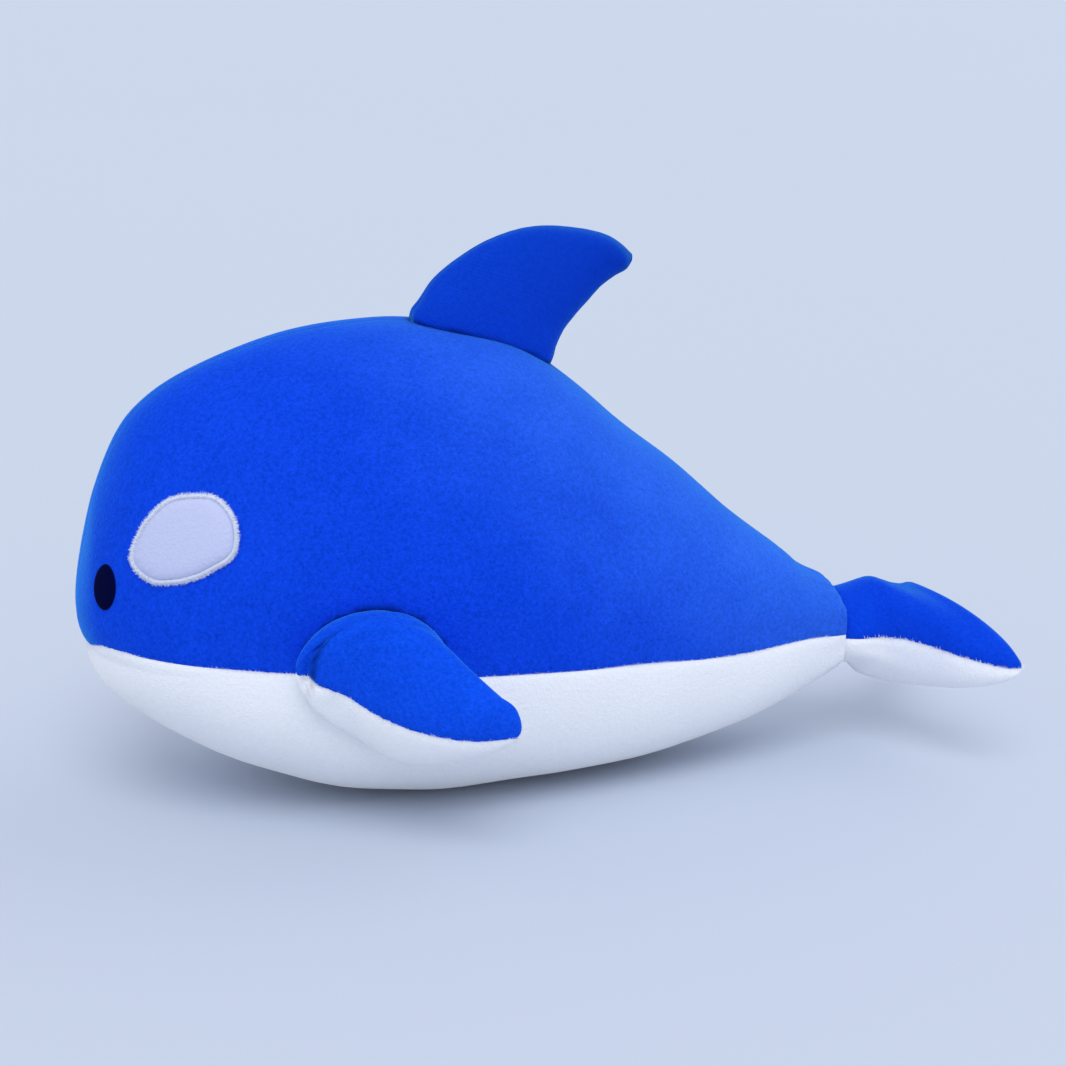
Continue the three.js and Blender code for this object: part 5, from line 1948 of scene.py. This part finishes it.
def satin_tree():
    """Arched threads that lie side by side across a border."""
    name = "whale_satin_stitches"
    if name in bpy.data.node_groups:
        return bpy.data.node_groups[name]
    inputs = {"Geometry": None, "Spacing": 0.0004, "Width": 0.0026, "Height": 0.002, "Thickness": 0.0005}
    inputs |= {"Seed": 3, "Material": None}
    group, source, result = new_group(name, "GeometryNodeTree", inputs, ["Geometry"])
    half = maths(group, "MULTIPLY", source.outputs["Width"], 0.5)
    start = node(group, "ShaderNodeCombineXYZ", X=maths(group, "MULTIPLY", half, -1.0)).outputs[0]
    end = node(group, "ShaderNodeCombineXYZ", X=half).outputs[0]
    rise = maths(group, "MULTIPLY", source.outputs["Height"], 2.0)
    top = node(group, "ShaderNodeCombineXYZ", Z=rise).outputs[0]
    arch = node(
        group, "GeometryNodeCurveQuadraticBezier", Resolution=ARCH_POINTS, Start=start, Middle=top, End=end
    )
    radius = maths(group, "MULTIPLY", source.outputs["Thickness"], 0.5)
    profile = node(group, "GeometryNodeCurvePrimitiveCircle", Resolution=THREAD_CORNERS, Radius=radius)
    thread = node(
        group, "GeometryNodeCurveToMesh", Fill_Caps=True,
        Curve=arch.outputs["Curve"], Profile_Curve=profile.outputs["Curve"],
    )
    upright = turned_to(group, "Z", carried_direction(group, "stand"))
    lean = leaning(group, source, "across", THREAD_LEAN, 1)
    crosswise = turned_to(group, "X", lean, pivot_axis="Z", Rotation=upright)
    sizes = random_value(group, source, "FLOAT_VECTOR", *THREAD_SIZE_SHARES, 2)
    points = spaced_points(group, source)
    place_items(group, source, result, points, thread.outputs["Mesh"], crosswise, sizes)
    return group


# How far a fibre may stand off its path, its corners and the radius of its tip, how far it may lean, and the
# least and the greatest of its random size.
FIBRE_SCATTER = 0.0003
FIBRE_CORNERS = 4
FIBRE_TIP = 0.00002
FIBRE_LEAN = 0.7
FIBRE_SIZE_SHARES = (0.5, 1.15)


def fringe_tree():
    """Fibres of the pile that stand out along a seam or an edge."""
    name = "whale_pile_fringe"
    if name in bpy.data.node_groups:
        return bpy.data.node_groups[name]
    inputs = {"Geometry": None, "Spacing": 0.0003, "Length": 0.0013, "Thickness": 0.00016, "Seed": 5}
    group, source, result = new_group(name, "GeometryNodeTree", inputs | {"Material": None}, ["Geometry"])
    scatter = random_offset(group, source, FIBRE_SCATTER, 1)
    points = spaced_points(group, source)
    moved = node(group, "GeometryNodeSetPosition", Geometry=points, Offset=scatter).outputs["Geometry"]
    fibre = node(
        group, "GeometryNodeMeshCone", Vertices=FIBRE_CORNERS, Radius_Top=FIBRE_TIP,
        Radius_Bottom=source.outputs["Thickness"], Depth=source.outputs["Length"],
    ).outputs["Mesh"]
    upright = turned_to(group, "Z", leaning(group, source, "stand", FIBRE_LEAN, 2))
    sizes = random_value(group, source, "FLOAT", *FIBRE_SIZE_SHARES, 3)
    place_items(group, source, result, moved, fibre, upright, sizes)
    return group


def add_fringe(now, name, seam, material, length_share=1.0, closed=False):
    """Pile that stands out along a seam or round an edge."""
    fringe = path_piece(name, seam.path, {"stand": seam.stand}, closed)
    grow(fringe, fringe_tree(), {
        "Spacing": now.finish.fringe_spacing,
        "Length": now.finish.fringe_length * length_share,
        "Material": material,
    })
    dress(fringe, material, seam.carried)


# Pile along the waist seams: its points, the shares of the seam where it starts and ends, how they crowd
# toward the nose, the turn to each side over which the skin's direction is taken, and the pile's lean.
WAIST_POINTS = 400
WAIST_SPAN_SHARES = (0.02, 0.985)
WAIST_CROWDING = 1.6
WAIST_STEP = 0.02
WAIST_PILE_LEAN = 0.6


class PLUSHWHALE_OT_seam_pile(bpy.types.Operator):
    """Let the pile stand out along the waist seam"""

    bl_idname = "plush_whale.seam_pile"
    bl_label = "Pile along the seams"

    def execute(self, context):
        now = settings_now()
        body = now.body
        x = body.sizes.length * np.linspace(*WAIST_SPAN_SHARES, WAIST_POINTS) ** WAIST_CROWDING
        waist = body.seam_turn(x)
        cloth = white_velour(now.finish)
        for name, side in SIDES.items():
            seam = body.point(x, waist, side)
            upward = body.point(x, waist - WAIST_STEP, side) - body.point(x, waist + WAIST_STEP, side)
            outward = unit(np.cross(np.gradient(seam, axis=0), -upward))
            outward *= np.sign(outward[WAIST_POINTS // 2, 1]) * side
            stand = unit(outward + unit(upward) * WAIST_PILE_LEAN)
            path = seam - outward * body.sizes.seam_roll + now.nose
            line = SimpleNamespace(path=path, stand=stand, carried="torso")
            add_fringe(now, f"waist_pile_{name}", line, cloth)
        return {"FINISHED"}


# Stage.

# Width in millimetres of the frame that the lens is given for.
SENSOR_WIDTH = 36

# How far the floor lies below the toy.
FLOOR_DROP = 0.0002

# The floor's faint unevenness: sizes as in the pile, and how much darker its dark places are.
FLOOR_SIZES = (0.05, 0.3, 1.5)
FLOOR_DARKNESS = 0.985

# Where the lights stand and the point that they are aimed at.
LIGHT_PLACES = {"key": (-0.2, -0.95, 1.4), "fill": (0, -2, 0.3), "rim": (1.8, 0.9, 1.1)}
LIGHT_AIM = (0, 0, 0.1)


def aim(thing, target):
    direction = Vector(target) - thing.location
    thing.rotation_euler = direction.to_track_quat("-Z", "Y").to_euler()


class PLUSHWHALE_OT_stage(bpy.types.Operator):
    """Set the camera, the soft lights and the pale floor"""

    bl_idname = "plush_whale.stage"
    bl_label = "Stage"

    def execute(self, context):
        now = settings_now()
        self.add_camera(context, now)
        self.add_floor(now)
        self.add_light(context, now)
        context.scene.view_settings.view_transform = "Standard"
        return {"FINISHED"}

    def add_camera(self, context, now):
        stage = now.stage
        target = Vector((stage.aim_place + now.nose[0], 0, stage.aim_height))
        level = math.cos(stage.camera_elevation)
        back = Vector((
            math.sin(stage.camera_azimuth) * level,
            -math.cos(stage.camera_azimuth) * level,
            math.sin(stage.camera_elevation),
        ))
        camera = bpy.data.objects.new("camera", bpy.data.cameras.new("camera"))
        camera.data.lens = stage.lens
        camera.data.sensor_width = SENSOR_WIDTH
        camera.location = target + back * stage.camera_distance
        aim(camera, target)
        context.scene.collection.objects.link(camera)
        context.scene.camera = camera

    def add_floor(self, now):
        half = now.stage.floor_size / 2
        mesh = bpy.data.meshes.new("floor")
        corners = [(-half, -half), (half, -half), (half, half), (-half, half)]
        mesh.from_pydata([(x, y, -FLOOR_DROP) for x, y in corners], [], [(0, 1, 2, 3)])
        floor = bpy.data.objects.new("floor", mesh)
        bpy.context.scene.collection.objects.link(floor)
        material, tree, shader = new_material("floor", now.stage.floor)
        dark = [part * FLOOR_DARKNESS for part in now.stage.floor]
        pile = pile_node(tree, *FLOOR_SIZES)
        mixed = colour_mix(tree, pile.outputs["Nap"], dark, now.stage.floor)
        fill(tree, shader, Base_Color=mixed, Roughness=0.9, Specular_IOR_Level=0.1)
        mesh.materials.append(material)

    def add_light(self, context, now):
        world = bpy.data.worlds.new("studio")
        world.use_nodes = True
        sky = world.node_tree.nodes["Background"]
        sky.inputs["Color"].default_value = (*now.stage.sky, 1)
        sky.inputs["Strength"].default_value = now.stage.sky_strength
        context.scene.world = world
        for name, place in LIGHT_PLACES.items():
            lamp = bpy.data.objects.new(f"{name}_light", bpy.data.lights.new(f"{name}_light", "SUN"))
            lamp.data.energy = getattr(now.stage, f"{name}_strength")
            lamp.data.angle = getattr(now.stage, f"{name}_softness")
            lamp.location = place
            aim(lamp, LIGHT_AIM)
            context.scene.collection.objects.link(lamp)


SETTINGS = {
    "whale_body": WhaleBodySettings,
    "whale_limbs": WhaleLimbSettings,
    "whale_trim": WhaleTrimSettings,
    "whale_finish": WhaleFinishSettings,
    "whale_stage": WhaleStageSettings,
}
OPERATORS = [
    PLUSHWHALE_OT_body,
    PLUSHWHALE_OT_dorsal_fin,
    PLUSHWHALE_OT_flippers,
    PLUSHWHALE_OT_tail,
    PLUSHWHALE_OT_eye_patches,
    PLUSHWHALE_OT_eyes,
    PLUSHWHALE_OT_seam_pile,
    PLUSHWHALE_OT_stage,
]


class PLUSHWHALE_PT_sidebar(bpy.types.Panel):
    """Buttons and sizes of the plush whale"""

    bl_idname = "PLUSHWHALE_PT_sidebar"
    bl_label = "Plush Whale"
    bl_space_type = "VIEW_3D"
    bl_region_type = "UI"
    bl_category = "Plush Whale"

    def draw(self, context):
        for operator in OPERATORS:
            self.layout.operator(operator.bl_idname)
        for name, kind in SETTINGS.items():
            box = self.layout.box()
            box.label(text=kind.__doc__)
            for label in kind.__annotations__:
                box.prop(getattr(context.scene, name), label)


def register():
    for name, kind in SETTINGS.items():
        bpy.utils.register_class(kind)
        setattr(bpy.types.Scene, name, bpy.props.PointerProperty(type=kind))
    for kind in [*OPERATORS, PLUSHWHALE_PT_sidebar]:
        bpy.utils.register_class(kind)


def unregister():
    for kind in [PLUSHWHALE_PT_sidebar, *reversed(OPERATORS)]:
        bpy.utils.unregister_class(kind)
    for name, kind in reversed(SETTINGS.items()):
        delattr(bpy.types.Scene, name)
        bpy.utils.unregister_class(kind)


def main():
    register()
    for operator in OPERATORS:
        group, name = operator.bl_idname.split(".")
        getattr(getattr(bpy.ops, group), name)()


if __name__ == "__main__":
    main()
